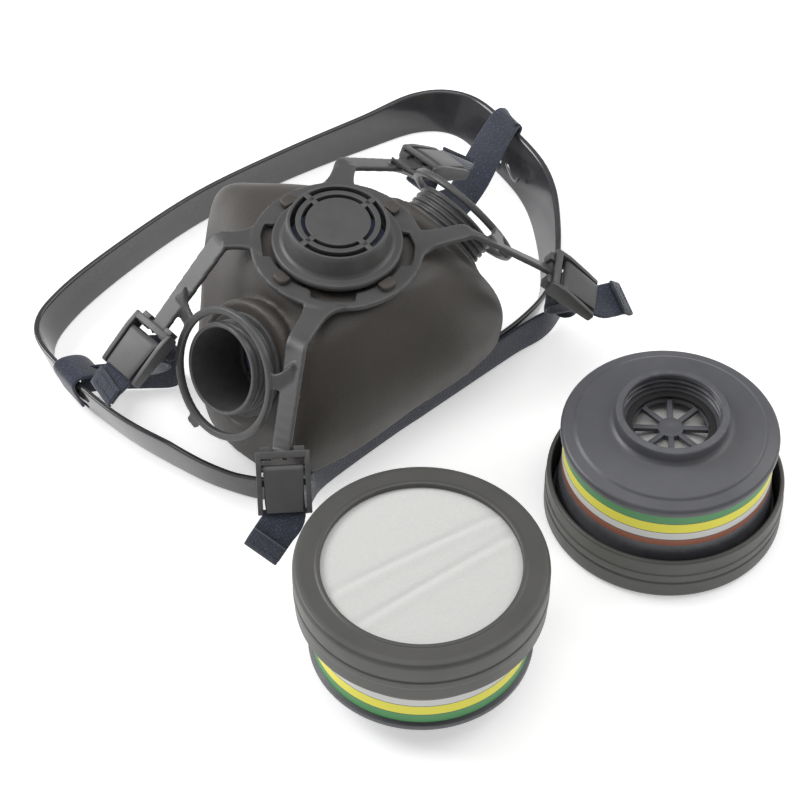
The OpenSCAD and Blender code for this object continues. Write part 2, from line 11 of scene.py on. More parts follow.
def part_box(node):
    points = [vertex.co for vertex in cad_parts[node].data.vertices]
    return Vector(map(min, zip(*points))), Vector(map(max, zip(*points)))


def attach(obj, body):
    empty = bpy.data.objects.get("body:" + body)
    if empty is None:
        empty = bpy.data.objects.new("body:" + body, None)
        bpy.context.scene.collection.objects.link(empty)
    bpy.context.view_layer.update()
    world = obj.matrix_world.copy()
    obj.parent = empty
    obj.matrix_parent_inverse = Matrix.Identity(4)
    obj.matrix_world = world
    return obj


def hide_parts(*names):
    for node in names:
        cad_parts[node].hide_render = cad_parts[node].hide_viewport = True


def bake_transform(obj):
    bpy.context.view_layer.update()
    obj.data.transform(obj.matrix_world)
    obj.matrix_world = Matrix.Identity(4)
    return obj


bl_info = {
    "name": "Half-mask respirator",
    "version": (1, 0, 0),
    "blender": (4, 5, 0),
    "location": "3D View > Sidebar > Respirator",
    "description": "Builds a half-mask respirator with its harness and two loose cartridges",
    "category": "Add Mesh",
}

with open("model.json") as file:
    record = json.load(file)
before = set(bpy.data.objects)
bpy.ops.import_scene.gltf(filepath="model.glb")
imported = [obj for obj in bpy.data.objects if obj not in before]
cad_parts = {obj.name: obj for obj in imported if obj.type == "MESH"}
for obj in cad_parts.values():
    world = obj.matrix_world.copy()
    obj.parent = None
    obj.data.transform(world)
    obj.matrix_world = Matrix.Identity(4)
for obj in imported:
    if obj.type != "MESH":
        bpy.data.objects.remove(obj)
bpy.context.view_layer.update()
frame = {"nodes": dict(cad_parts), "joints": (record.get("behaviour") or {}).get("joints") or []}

MM = 0.001
UP = Vector((0, 0, 1))
TURN = 2 * math.pi
SIDES = {"right": -1, "left": 1}
CORNERS = [side + "_" + level for side in SIDES for level in ("upper", "lower")]

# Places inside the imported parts, in millimetres
FLAP_OVER_VALVE = 1.55
FLAP_UNDER_RIM = 28.1
LEVER_PIN = (6, 2.2)
FIRST_PAD_TURN = 20


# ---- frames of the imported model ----
def middle(node):
    """The middle of a node's box."""
    low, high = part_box(node)
    return (low + high) / 2


def joint(name):
    return next(j for j in frame["joints"] if j["name"] == name)


def axes(origin, x, normal):
    """A frame in millimetres at origin, with X along x and Z as near normal as it can be."""
    ex = Vector(x).normalized()
    ey = Vector(normal).cross(ex).normalized()
    turn = Matrix((ex, ey, ex.cross(ey))).transposed().to_4x4()
    return Matrix.Translation(origin) @ turn @ Matrix.Scale(MM, 4)


def local_axes(origin, x, normal):
    """The same frame inside another one that is in millimetres already."""
    return axes(origin, x, normal) @ Matrix.Scale(1 / MM, 4)


MIRROR = Matrix.Scale(-1, 4, (1, 0, 0))
mask_foot = (middle("right_inlet_port") + middle("left_inlet_port")) / 2
mask_foot.z = 0
MASK = Matrix.Translation(mask_foot) @ Matrix.Scale(MM, 4)
valve_axis = Vector(joint("cover_pull")["axis"])
VALVE = axes(middle("exhalation_flap") - FLAP_OVER_VALVE * MM * valve_axis, (1, 0, 0), valve_axis)


def side_frame(side):
    """The mask's frame in millimetres, mirrored for the right side."""
    return MASK @ (MIRROR if side == "right" else Matrix.Identity(4))


def port_frame(side):
    """Z points out of the port and its rim is at zero."""
    out = -Vector(joint(side + "_inhalation_lift")["axis"])
    rim = middle(side + "_inhalation_flap") + FLAP_UNDER_RIM * MM * out
    return axes(rim, (SIDES[side] * out.z, 0, -abs(out.x)), out)


def buckle_frame(corner):
    """X runs out from the pivot and Z faces away from the mask."""
    swing = joint(corner + "_buckle_swing")
    pivot = Vector(swing["pos_m"])
    hinge = Vector(swing["axis"]).normalized()
    lever = Vector(joint(corner + "_lever_flip")["pos_m"]) - pivot
    out = (LEVER_PIN[0] * lever - LEVER_PIN[1] * hinge.cross(lever)).normalized()
    across = hinge if corner.startswith("right") else -hinge
    turn = Matrix((out, across, hinge.cross(out))).transposed().to_4x4()
    return Matrix.Translation(pivot) @ turn @ Matrix.Scale(MM, 4)


def cartridge_frame(which):
    """Z runs from the pad's face at zero to the collar's mouth."""
    low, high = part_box(which + "_retainer")
    spot = (low + high) / 2
    if which == "first":
        turn = math.radians(FIRST_PAD_TURN)
        return axes((spot.x, spot.y, high.z), (math.cos(turn), math.sin(turn), 0), (0, 0, -1))
    return axes((spot.x, spot.y, 0), (1, 0, 0), UP)


# ---- shapes: each is its vertices, its faces and, where a pattern needs it, its UVs ----
def prism(outline, low, high, where):
    n = len(outline)
    verts = [where @ Vector((x, y, z)) for z in (low, high) for x, y in outline]
    faces = [tuple(range(n))[::-1], tuple(range(n, 2 * n))]
    faces += [(i, (i + 1) % n, n + (i + 1) % n, n + i) for i in range(n)]
    return verts, faces, None


def block(x, y, z, where):
    """A brick between pairs of limits."""
    return prism([(x[0], y[0]), (x[1], y[0]), (x[1], y[1]), (x[0], y[1])], z[0], z[1], where)


def disc(radius, at=(0, 0), steps=32):
    return [(at[0] + radius * math.cos(TURN * k / steps), at[1] + radius * math.sin(TURN * k / steps))
            for k in range(steps)]


def skin(rings, wrapped=False, uvs=None):
    """A closed surface from equal rings of points."""
    m, count = len(rings[0]), len(rings)
    verts = [p for ring in rings for p in ring]
    faces = [(i * m + j, i * m + (j + 1) % m, (i + 1) % count * m + (j + 1) % m, (i + 1) % count * m + j)
             for i in range(count if wrapped else count - 1) for j in range(m)]
    if not wrapped:
        faces += [tuple(range(m))[::-1], tuple(range((count - 1) * m, count * m))]
    return verts, faces, uvs


def lathe(profile, where, steps=96, shape=None, along=None):
    """A closed profile of radius and height turned round Z; shape may change a radius."""
    rings, uvs = [], []
    for k in range(steps):
        a = TURN * k / steps
        ring = []
        for r, z in profile:
            r = shape(r, z, a) if shape else r
            ring.append(where @ Vector((r * math.cos(a), r * math.sin(a), z)))
            uvs.append((k / steps, along(z) if along else z))
        rings.append(ring)
    return skin(rings, True, uvs if along else None)


def rounded(corners, radius, steps=4):
    """A closed outline with its corners rounded by at most a radius."""
    out, n = [], len(corners)
    for i, corner in enumerate(corners):
        p = Vector(corner)
        before, after = Vector(corners[i - 1]) - p, Vector(corners[(i + 1) % n]) - p
        a = p + before * min(0.45, radius / before.length)
        b = p + after * min(0.45, radius / after.length)
        for k in range(steps + 1):
            t = k / steps
            out.append(tuple(a * (1 - t) ** 2 + p * 2 * t * (1 - t) + b * t * t))
    return out


def through(points, steps, closed=False):
    """A smooth curve through points, with some steps from each to the next."""
    p = [Vector(q) for q in points]
    n = len(p)
    out = []
    for i in range(n if closed else n - 1):
        if closed:
            a, b, c, d = p[i - 1], p[i], p[(i + 1) % n], p[(i + 2) % n]
        else:
            a, b, c, d = p[max(i - 1, 0)], p[i], p[i + 1], p[min(i + 2, n - 1)]
        for k in range(steps):
            t = k / steps
            out.append(0.5 * (2 * b + (c - a) * t + (2 * a - 5 * b + 4 * c - d) * t ** 2
                              + (3 * b - a - 3 * c + d) * t ** 3))
    return out if closed else out + [p[-1]]


def ribbon(points, across, width, thick, where, steps=6):
    """A strap with rounded edges; its UVs are millimetres across and along."""
    path, sides = through(points, steps), through(across, steps)
    section = rounded([(-width / 2, -thick / 2), (width / 2, -thick / 2), (width / 2, thick / 2),
                       (-width / 2, thick / 2)], thick * 0.45, 3)
    flat = []
    for k in range(len(section)):
        x, y = section[k]
        flat.append((x, y))
        nx, ny = section[(k + 1) % len(section)]
        for i in range(1, 6 if abs(nx - x) > width / 2 else 1):
            flat.append((x + (nx - x) * i / 6, y + (ny - y) * i / 6))
    rings, uvs, run = [], [], 0.0
    for i, p in enumerate(path):
        along = (path[min(i + 1, len(path) - 1)] - path[max(i - 1, 0)]).normalized()
        w = (sides[i] - along * sides[i].dot(along)).normalized()
        n = along.cross(w)
        run += (p - path[i - 1]).length if i else 0
        rings.append([where @ (p + w * x + n * y) for x, y in flat])
        uvs += [(x + (0 if y < 0 else 100), run) for x, y in flat]
    return skin(rings, False, uvs)


def solid(name, shells, smooth=32):
    """One object at the origin from several closed shells."""
    bm = bmesh.new()
    layer = bm.loops.layers.uv.new("pattern")
    for verts, faces, uvs in shells:
        made = [bm.verts.new(v) for v in verts]
        for face in faces:
            if len({tuple(made[i].co) for i in face}) < 3:
                continue
            new = bm.faces.new([made[i] for i in face])
            if uvs:
                for loop, i in zip(new.loops, face):
                    loop[layer].uv = uvs[i]
    bmesh.ops.remove_doubles(bm, verts=bm.verts, dist=1e-7)
    bmesh.ops.recalc_face_normals(bm, faces=bm.faces)
    mesh = bpy.data.meshes.new(name)
    bm.to_mesh(mesh)
    bm.free()
    obj = bpy.data.objects.new(name, mesh)
    bpy.context.scene.collection.objects.link(obj)
    shade(obj, smooth)
    return obj


def shade(obj, angle):
    obj.data.shade_smooth()
    obj.data.set_sharp_from_angle(angle=math.radians(angle))


def settle(obj):
    """Turns an object and its modifiers into a plain mesh."""
    graph = bpy.context.evaluated_depsgraph_get()
    mesh = bpy.data.meshes.new_from_object(obj.evaluated_get(graph))
    obj.modifiers.clear()
    old = obj.data
    obj.data = mesh
    bpy.data.meshes.remove(old)
    return obj


def cast(obj, voxel, passes, angle=60):
    """Melts overlapping shells into one moulding with soft corners."""
    melt = obj.modifiers.new("melt", "REMESH")
    melt.mode = "VOXEL"
    melt.voxel_size = voxel * MM
    soften = obj.modifiers.new("soften", "SMOOTH")
    soften.factor = 0.5
    soften.iterations = passes
    settle(obj)
    shade(obj, angle)
    return obj


def soft_edges(obj, width, angle=32):
    """Bevels the sharp edges of a moulding."""
    bevel = obj.modifiers.new("bevel", "BEVEL")
    bevel.width = width * MM
    bevel.segments = 3
    bevel.limit_method = "ANGLE"
    bevel.angle_limit = math.radians(angle)
    settle(obj)
    shade(obj, angle)
    return obj


def cut(obj, *shells):
    """Cuts closed shells out of an object."""
    for shell in shells:
        tool = solid("tool", [shell])
        knife = obj.modifiers.new("cut", "BOOLEAN")
        knife.operation = "DIFFERENCE"
        knife.solver = "EXACT"
        knife.object = tool
        settle(obj)
        bpy.data.objects.remove(tool)
    return obj


def join(obj, *others):
    """Adds the meshes of other objects to an object."""
    bm = bmesh.new()
    for part in (obj, *others):
        bm.from_mesh(part.data)
    bm.to_mesh(obj.data)
    bm.free()
    for part in others:
        bpy.data.objects.remove(part)
    return obj


def mark_edges(obj, reach=1):
    """Stores how convex each vertex is, for the wear on its edges."""
    bm = bmesh.new()
    bm.from_mesh(obj.data)
    bm.normal_update()
    sharp = [0.0] * len(bm.verts)
    for v in bm.verts:
        total = sum((e.other_vert(v).co - v.co).normalized().dot(v.normal) for e in v.link_edges)
        sharp[v.index] = min(1, max(0, -4 * total / max(1, len(v.link_edges))))
    for _ in range(reach):
        sharp = [max(sharp[v.index], *(0.7 * sharp[e.other_vert(v).index] for e in v.link_edges), 0)
                 if v.link_edges else 0 for v in bm.verts]
    bm.free()
    obj.data.attributes.new("edge", "FLOAT", "POINT").data.foreach_set("value", sharp)
    return obj


# ---- repeats, made by Geometry Nodes ----
def node_tree(name, inputs):
    tree = bpy.data.node_groups.new(name, "GeometryNodeTree")
    for label, kind in inputs:
        tree.interface.new_socket(label, in_out="INPUT", socket_type=kind)
    tree.interface.new_socket("Geometry", in_out="OUTPUT", socket_type="NodeSocketGeometry")
    return tree


def wire(tree, kind, settings=(), **links):
    """Adds a node; a link is a value or another node's output."""
    node = tree.nodes.new(kind)
    for key, value in dict(settings).items():
        setattr(node, key, value)
    for key, value in links.items():
        socket = node.inputs[key.replace("_", " ")]
        if isinstance(value, bpy.types.NodeSocket):
            tree.links.new(value, socket)
        else:
            socket.default_value = value
    return node


def repeat_tree():
    """Copies of an object along a line or round an arc, realized and given a material."""
    tree = node_tree("copies", [("Copy", "NodeSocketObject"), ("Count", "NodeSocketInt"),
                                ("Step", "NodeSocketVector"), ("Arc", "NodeSocketVector"),
                                ("Finish", "NodeSocketMaterial")])
    given = tree.nodes.new("NodeGroupInput").outputs
    index = wire(tree, "GeometryNodeInputIndex").outputs[0]
    number = wire(tree, "ShaderNodeCombineXYZ", X=index, Y=index, Z=index).outputs[0]
    place, turn = tree.nodes.new("ShaderNodeVectorMath"), tree.nodes.new("ShaderNodeVectorMath")
    for maths, value in ((place, given["Step"]), (turn, given["Arc"])):
        maths.operation = "MULTIPLY"
        tree.links.new(number, maths.inputs[0])
        tree.links.new(value, maths.inputs[1])
    points = wire(tree, "GeometryNodePoints", Count=given["Count"], Position=place.outputs[0])
    copy = wire(tree, "GeometryNodeObjectInfo", Object=given["Copy"])
    spread = wire(tree, "GeometryNodeInstanceOnPoints", Points=points.outputs[0],
                  Instance=copy.outputs["Geometry"], Rotation=turn.outputs[0])
    real = wire(tree, "GeometryNodeRealizeInstances", Geometry=spread.outputs[0])
    painted = wire(tree, "GeometryNodeSetMaterial", Geometry=real.outputs[0], Material=given["Finish"])
    end = tree.nodes.new("NodeGroupOutput")
    tree.links.new(painted.outputs[0], end.inputs[0])
    return tree


def copies(name, model, count, finish, where, step=(0, 0, 0), arc=(0, 0, 0)):
    """A plain mesh of an object's copies, placed in a frame."""
    tree = bpy.data.node_groups.get("copies") or repeat_tree()
    obj = solid(name, [])
    spread = obj.modifiers.new("copies", "NODES")
    spread.node_group = tree
    values = {"Copy": model, "Count": count, "Step": step, "Arc": arc, "Finish": finish}
    for item in tree.interface.items_tree:
        if item.in_out == "INPUT":
            spread[item.identifier] = values[item.name]
    settle(obj)
    obj.data.transform(where)
    bpy.data.objects.remove(model)
    shade(obj, 32)
    return obj


# ---- finishes ----
RIB_PITCH = 1.15
PICK_PITCH = 0.8
LINE_HEIGHT = 0.35
BROWN_STRIPE = 3.6
WHITE_PRINT = (0.62, 0.62, 0.6)
LINE_INK = (0.05, 0.05, 0.05)
STRAP_FUZZ = (0.12, 0.14, 0.19)


class Value:
    """A socket whose sums and products add Math nodes."""

    def __init__(self, finish, socket):
        self.finish, self.socket = finish, socket

    def _math(self, operation, *values):
        return self.finish.add("ShaderNodeMath", {"operation": operation}, dict(enumerate(values)))

    def __add__(self, other):
        return self._math("ADD", self, other)

    def __sub__(self, other):
        return self._math("SUBTRACT", self, other)

    def __rsub__(self, other):
        return self._math("SUBTRACT", other, self)

    def __mul__(self, other):
        return self._math("MULTIPLY", self, other)

    __radd__, __rmul__ = __add__, __mul__

    def sine(self):
        return self._math("SINE", self)

    def least(self, other):
        return self._math("MINIMUM", self, other)

    def most(self, other):
        return self._math("MAXIMUM", self, other)


class Finish:
    """A material of one Principled shader."""

    def __init__(self, name, roughness=0.5, **constants):
        self.material = bpy.data.materials.new(name)
        self.material.use_nodes = True
        self.tree = self.material.node_tree
        self.shader = next(n for n in self.tree.nodes if n.type == "BSDF_PRINCIPLED")
        self.shader.inputs["Roughness"].default_value = roughness
        for key, value in constants.items():
            self.shader.inputs[key.replace("_", " ")].default_value = value

    def add(self, kind, settings, inputs, output=0):
        """Any node: its settings, then the values or links of its sockets."""
        node = self.tree.nodes.new(kind)
        for key, value in settings.items():
            if key == "stops":
                ramp = node.color_ramp
                ramp.interpolation = "CONSTANT"
                for i, (place, colour) in enumerate(value):
                    stop = ramp.elements[i] if i < 2 else ramp.elements.new(place)
                    stop.position, stop.color = place, (*colour, 1)
            else:
                setattr(node, key, value)
        for key, value in inputs.items():
            if isinstance(value, Value):
                self.tree.links.new(value.socket, node.inputs[key])
            else:
                node.inputs[key].default_value = value
        return Value(self, node.outputs[output])

    def coordinates(self, kind="Object"):
        return self.add("ShaderNodeTexCoord", {}, {}, kind)

    def grain(self, scale, detail=3, stretch=(1, 1, 1), source=None):
        place = self.add("ShaderNodeMapping", {}, {"Vector": source or self.coordinates(), "Scale": stretch})
        return self.add("ShaderNodeTexNoise", {}, {"Vector": place, "Scale": scale, "Detail": detail})

    def edge(self):
        return self.add("ShaderNodeAttribute", {"attribute_name": "edge"}, {}, "Fac")

    def blend(self, factor, a, b):
        colours = {6: a if isinstance(a, Value) else (*a, 1), 7: b if isinstance(b, Value) else (*b, 1)}
        return self.add("ShaderNodeMix", {"data_type": "RGBA"}, {0: factor, **colours}, 2)

    def paint(self, colour=None, roughness=None, height=None, depth=0.1):
        for key, value in (("Base Color", colour), ("Roughness", roughness)):
            if isinstance(value, Value):
                self.tree.links.new(value.socket, self.shader.inputs[key])
            elif value is not None:
                self.shader.inputs[key].default_value = (*value, 1) if key == "Base Color" else value
        if height is not None:
            bump = self.add("ShaderNodeBump", {}, {"Strength": 1, "Distance": depth * MM, "Height": height})
            self.tree.links.new(bump.socket, self.shader.inputs["Normal"])
        return self.material


def darker(colour, share):
    return tuple(c * share for c in colour[:3])


def plastic(name, colour, roughness, pitch=1600, depth=0.03, worn=1.7, **constants):
    """Moulded plastic or rubber: a fine grain, faint clouding and paler worn edges."""
    f = Finish(name, roughness, **constants)
    cloud, grain = f.grain(55), f.grain(pitch, 2)
    base = f.blend(cloud, darker(colour, 0.82), darker(colour, 1.18))
    wear = f.edge() * (f.grain(240) * 2 - 0.6).most(0)
    base = f.blend(wear.least(0.55), base, darker(colour, worn))
    return f.paint(base, f.grain(90) * 0.16 + (roughness - 0.08), grain, depth)


def webbing(name, colour):
    """Elastic webbing: ribs along it crossed by fine picks, with painted shade in the weave's hollows and a
    paler fuzz.
    """
    f = Finish(name, 0.85, Sheen_Weight=0.35, Sheen_Roughness=0.5)
    uv = f.add("ShaderNodeUVMap", {"uv_map": "pattern"}, {})
    split = f.add("ShaderNodeSeparateXYZ", {}, {0: uv})
    across, along = split, Value(f, split.socket.node.outputs[1])
    ribs = (across * (TURN / RIB_PITCH)).sine() * 0.5 + 0.5
    picks = ((along * (TURN / PICK_PITCH)) + ribs * 2.2).sine() * 0.5 + 0.5
    fuzz = f.grain(1100, 4)
    weave_and_shade = ribs * 0.5 + picks * 0.5
    # The ribs and picks in colour, lighter on their crests and darker in their hollows: the weave's pattern
    # with painted shade
    base = f.blend(weave_and_shade, darker(colour, 0.7), darker(colour, 1.3))
    base = f.blend((f.grain(110, 5) * 2 - 0.8).most(0) * 0.8, base, darker(colour, 1.9))
    base = f.blend(((fuzz - 0.52) * 1.6).most(0), base, STRAP_FUZZ)
    return f.paint(base, 0.85, weave_and_shade * 0.6 + fuzz, 0.2)


def fleece(name, colour, depth=0.12):
    """Pressed fibre: a fine tangle with faint shadows."""
    f = Finish(name, 0.95, Sheen_Weight=0.2)
    tangle = f.grain(900, 6)
    strands = f.grain(500, 3, (1, 6, 1))
    base = f.blend(tangle * 0.6 + strands * 0.4, darker(colour, 0.86), darker(colour, 1.04))
    return f.paint(base, 0.95, tangle + strands * 0.5, depth)


def striped(name, stripes, line):
    """A printed band of plain stripes with thin lines between; UV Y runs down it from 0 to 1."""
    f = Finish(name, 0.42)
    uv = f.add("ShaderNodeUVMap", {"uv_map": "pattern"}, {})
    split = f.add("ShaderNodeSeparateXYZ", {}, {0: uv})
    down = Value(f, split.socket.node.outputs[1])
    total = sum(h for h, _ in stripes)
    stops, place = [], 0.0
    for height, colour in stripes:
        stops += [(place, tuple(colour)), (place + (height - LINE_HEIGHT) / total, tuple(line))]
        place += height / total
    bands = f.add("ShaderNodeValToRGB", {"stops": stops[:-1]}, {0: down})
    base = f.blend(f.grain(60) * 0.14, bands, (0.25, 0.25, 0.25))
    return f.paint(base, f.grain(120) * 0.2 + 0.3, f.grain(300), 0.02)


def speckled(name, dark, light):
    """A bed of loose grains."""
    f = Finish(name, 0.6)
    cells = f.add("ShaderNodeTexVoronoi", {}, {"Vector": f.coordinates(), "Scale": 700})
    base = f.blend(cells * 1.4, light, dark)
    return f.paint(base, 0.55, cells, 0.4)


# ---- sizes and colours that a user may change ----
def size(label, words, default, low=0.0, high=200.0):
    return FloatProperty(name=label, description=words, default=default, min=low, max=high)


def colour(label, words, default):
    return FloatVectorProperty(name=label, description=words, default=default, size=3, min=0, max=1,
                               subtype="COLOR")


class RespiratorSizes(bpy.types.PropertyGroup):
    """The sizes that a user may change, in millimetres"""
    wall: size("Wall", "Thickness of the rubber wall in millimetres", 2.4, 1.5, 4)
    seal_reach: size("Seal reach", "How far the face seal turns in, in millimetres", 13, 6, 16)
    collar_radius: size("Port collar", "Radius of the rubber collars round the ports, in millimetres",
                        25.6, 23, 27)
    thread_pitch: size("Thread pitch", "Rise of the threads in one turn, in millimetres", 2.6, 1.5, 4)
    thread_depth: size("Thread depth", "Depth of the threads in millimetres", 0.9, 0.3, 1.2)
    yoke_thickness: size("Yoke", "Thickness of the yoke in millimetres", 2.2, 1.5, 3)
    arm_width: size("Arms", "Width of the yoke's arms in millimetres", 8, 6, 10)
    strap_width: size("Strap width", "Width of the elastic straps in millimetres", 15, 10, 15)
    strap_thickness: size("Strap thickness", "Thickness of the straps in millimetres", 1.3, 0.8, 1.6)
    cradle_thickness: size("Cradle", "Thickness of the cradle band in millimetres", 2.4, 1.5, 3)
    pad_crown: size("Pad crown", "How far the pads swell in the middle, in millimetres", 1.0, 0, 1.4)
    green_stripe: size("Green stripe", "Height of the green stripe in millimetres", 4.6, 1, 8)
    yellow_stripe: size("Yellow stripe", "Height of the yellow stripe in millimetres", 5.2, 1, 8)
    white_stripe: size("White stripe", "Height of the white stripe in millimetres", 4, 1, 8)


class RespiratorColours(bpy.types.PropertyGroup):
    """The colours that a user may change"""
    rubber: colour("Rubber", "The facepiece's rubber", (0.047, 0.041, 0.036))
    moulded: colour("Moulded plastic", "The yoke, the cover, the ports and the buckles",
                    (0.060, 0.060, 0.060))
    cradle: colour("Cradle", "The glossy cradle", (0.030, 0.030, 0.033))
    webbing: colour("Webbing", "The elastic straps", (0.014, 0.018, 0.034))
    case: colour("Case", "The cartridges' cases", (0.072, 0.073, 0.082))
    retainer: colour("Retainer", "The filter retainers", (0.062, 0.061, 0.057))
    fleece: colour("Fleece", "The pads and the fleece", (0.60, 0.60, 0.585))
    flap: colour("Flaps", "The valve flaps", (0.13, 0.16, 0.26))
    green: colour("Green", "The green stripe", (0.045, 0.26, 0.07))
    yellow: colour("Yellow", "The yellow stripe", (0.80, 0.74, 0.03))
    brown: colour("Brown", "The brown stripe", (0.28, 0.08, 0.035))


FINISHES = {}


def finish(name):
    """The named material, made when it is first asked for."""
    if name in FINISHES:
        return FINISHES[name]
    c = bpy.context.scene.respirator_colours
    s = bpy.context.scene.respirator_sizes
    stripes = [(s.green_stripe, c.green), (s.yellow_stripe, c.yellow), (s.white_stripe, WHITE_PRINT),
               (BROWN_STRIPE, c.brown)]
    makers = {
        "facepiece_rubber": lambda: plastic(name, c.rubber, 0.5, 1300, 0.12, 1.5),
        "moulded_plastic": lambda: plastic(name, c.moulded, 0.42, 1900, 0.03, 1.6),
        "valve_rubber": lambda: plastic(name, c.flap, 0.35, 700, 0.02),
        "cradle_plastic": lambda: plastic(name, c.cradle, 0.2, 260, 0.012, 2.2, Coat_Weight=0.5,
                                          Coat_Roughness=0.08),
        "strap_webbing": lambda: webbing(name, c.webbing),
        "case_plastic": lambda: plastic(name, c.case, 0.4, 1700, 0.03, 1.5),
        "retainer_plastic": lambda: plastic(name, c.retainer, 0.44, 1500, 0.04, 1.6),
        "filter_label": lambda: striped(name, stripes, LINE_INK),
        "filter_pad": lambda: fleece(name, c.fleece),
        "carbon": lambda: speckled(name, (0.008, 0.008, 0.008), (0.03, 0.03, 0.03)),
        "gasket_rubber": lambda: plastic(name, (0.012, 0.012, 0.012), 0.6, 900, 0.03),
        "staple_wire": lambda: plastic(name, (0.30, 0.30, 0.31), 0.3, 500, 0.01, Metallic=1.0),
    }
    FINISHES[name] = makers[name]()
    return FINISHES[name]


def dress(obj, material, body=None, stands_for=()):
    """Gives a piece its finish and its body, and hides the CAD nodes that it stands for."""
    if not obj.data.materials:
        obj.data.materials.append(finish(material))
    if body:
        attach(obj, body)
    if stands_for:
        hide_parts(*stands_for)
    return obj


def keep(node, material):
    """A CAD node that stays, with a procedural finish."""
    slots = frame["nodes"][node].data.materials
    slots.clear()
    slots.append(finish(material))


# ---- facepiece ----
# Half outlines of the rubber, each from the chin round to the nose: X, Y and Z in the mask's frame
LIP = [(0, -42, 20), (30, -42, 19), (53, -36, 16.5), (59, -22, 11), (59, 0, 6),
       (55, 20, 3), (45, 38, 0.4), (31, 54, 3), (15, 68, 14), (0, 75, 26)]
BELLY = [(0, -44, 33), (30, -43.5, 33), (54, -37, 32), (61, -23, 31), (60, -2, 28),
         (55, 20, 27), (45, 38, 28), (31, 53, 34), (15, 69, 42), (0, 78, 50)]
SHOULDER = [(0, -41, 51), (27, -40.5, 50), (47, -34, 50), (54, -20, 48), (51, -1, 45),
            (46, 18, 45), (39, 34, 47), (27, 49, 53), (13, 64, 60), (0, 72, 65)]
CROWN = [(0, -33, 68), (22, -32, 68), (37, -25, 67), (42, -11, 65), (38, 3, 64),
         (36, 17, 65), (31, 30, 68), (22, 42, 71), (11, 52, 73), (0, 56, 74)]
# Radius and height of the rows that close in on the valve
VALVE_ROWS = [(33.5, -2.4), (29, -0.6), (22.8, -0.3)]
ROW_STEPS = 5
FACE_CENTRE_Y = 20
SEAL_HEIGHTS = (1.6, 3.8)
PORT_HOLE = 19.2


def whole(half):
    """A full outline from its half."""
    return half + [(-x, y, z) for x, y, z in half[8:0:-1]]


def valve_row(radius, z):
    """Ten points of half a circle on the valve's plane, in the mask's frame."""
    to_mask = MASK.inverted() @ VALVE
    angles = [math.radians(-90 + 20 * j) for j in range(10)]
    return [tuple(to_mask @ Vector((radius * math.cos(a), radius * math.sin(a), z))) for a in angles]


def rubber_rings():
    """Rings of the rubber's outer face, from the lip up to the valve's hole."""
    halves = [LIP, BELLY, SHOULDER, CROWN] + [valve_row(r, z) for r, z in VALVE_ROWS]
    rows = [through(whole(half), ROW_STEPS, True) for half in halves]
    columns = [through([row[j] for row in rows], ROW_STEPS) for j in range(len(rows[0]))]
    return [[column[k] for column in columns] for k in range(len(columns[0]))]


def inset(rings, wall):
    """The same rings, moved inwards by a wall."""
    last, m = len(rings) - 1, len(rings[0])
    moved = []
    for k, ring in enumerate(rings):
        moved.append([])
        for j, p in enumerate(ring):
            along = ring[(j + 1) % m] - ring[j - 1]
            up = rings[min(k + 1, last)][j] - rings[max(k - 1, 0)][j]
            moved[-1].append(p - wall * along.cross(up).normalized())
    return moved


def face_seal(lip, reach):
    """The two rings of the seal that turns in from the lip."""
    return [[p + reach * (Vector((0, FACE_CENTRE_Y, p.z)) - p).normalized() + height * UP for p in lip]
            for height in SEAL_HEIGHTS]


def collar(r, where):
    """The rubber collar round a port."""
    profile = [(0, -30), (23, -30), (r - 1.5, -20), (r, -17.5), (r, -13.4), (r - 1.6, -12.3),
               (r - 2.6, -12.6), (0, -12.6)]
    return lathe(rounded(profile, 1.2), where, 72)


def lug(where):
    """A lug that holds the yoke's centre ring."""
    outline = [(26.7, -3.4), (30.2, -3.4), (31.6, -2), (31.6, 2), (30.2, 3.4), (26.7, 3.4)]
    return prism(rounded(outline, 1), -1, 4.4, where)


class RESPIRATOR_OT_facepiece(bpy.types.Operator):
    """Moulds the rubber facepiece with its face seal, port collars and lugs"""
    bl_options = {"REGISTER", "UNDO"}
    bl_idname = "respirator.facepiece"
    bl_label = "Facepiece"

    def execute(self, context):
        s = context.scene.respirator_sizes
        rings = rubber_rings()
        wall = face_seal(rings[0], s.seal_reach) + inset(rings, s.wall)[1:] + rings[::-1]
        shells = [skin([[MASK @ p for p in ring] for ring in wall], True)]
        shells += [collar(s.collar_radius, port_frame(side)) for side in SIDES]
        obj = cast(solid("facepiece_shell", shells), 0.95, 7, 80)
        hole = [(0, -44), (PORT_HOLE, -44), (PORT_HOLE, 2), (0, 2)]
        cut(obj, *[lathe(hole, port_frame(side), 72) for side in SIDES])
        shade(obj, 50)
        lugs = [lug(VALVE @ Matrix.Rotation(TURN * k / 4, 4, "Z")) for k in range(4)]
        join(obj, soft_edges(solid("lugs", lugs), 0.8))
        dress(mark_edges(obj), "facepiece_rubber", "root", ["facepiece"])
        return {"FINISHED"}


# ---- ports ----
THREAD_RADIUS = 18.4
THREAD_FOOT = -10.9
SEAT = (-27.4, -25.6)
SEAT_TURN = {"right": 90, "left": 30}


def helix(radius, low, high, sizes, sign):
    """A thread cut into a face at a radius, as the shape of a lathe."""
    def shape(r, z, a):
        if abs(r - radius) > 0.05 or not low < z < high:
            return r
        phase = (z / sizes.thread_pitch - a / TURN) % 1
        depth = min(1, max(0, 1.9 - 5.5 * abs(phase - 0.5)))
        fade = min(1, (z - low) / 1.2, (high - z) / 1.2)
        return r + sign * sizes.thread_depth * depth * fade
    return shape


def climb(radius, low, high, step=0.22):
    """Points straight up or down a cylinder's side, close enough for a thread."""
    count = max(2, round(abs(high - low) / step))
    return [(radius, low + (high - low) * k / count) for k in range(count + 1)]


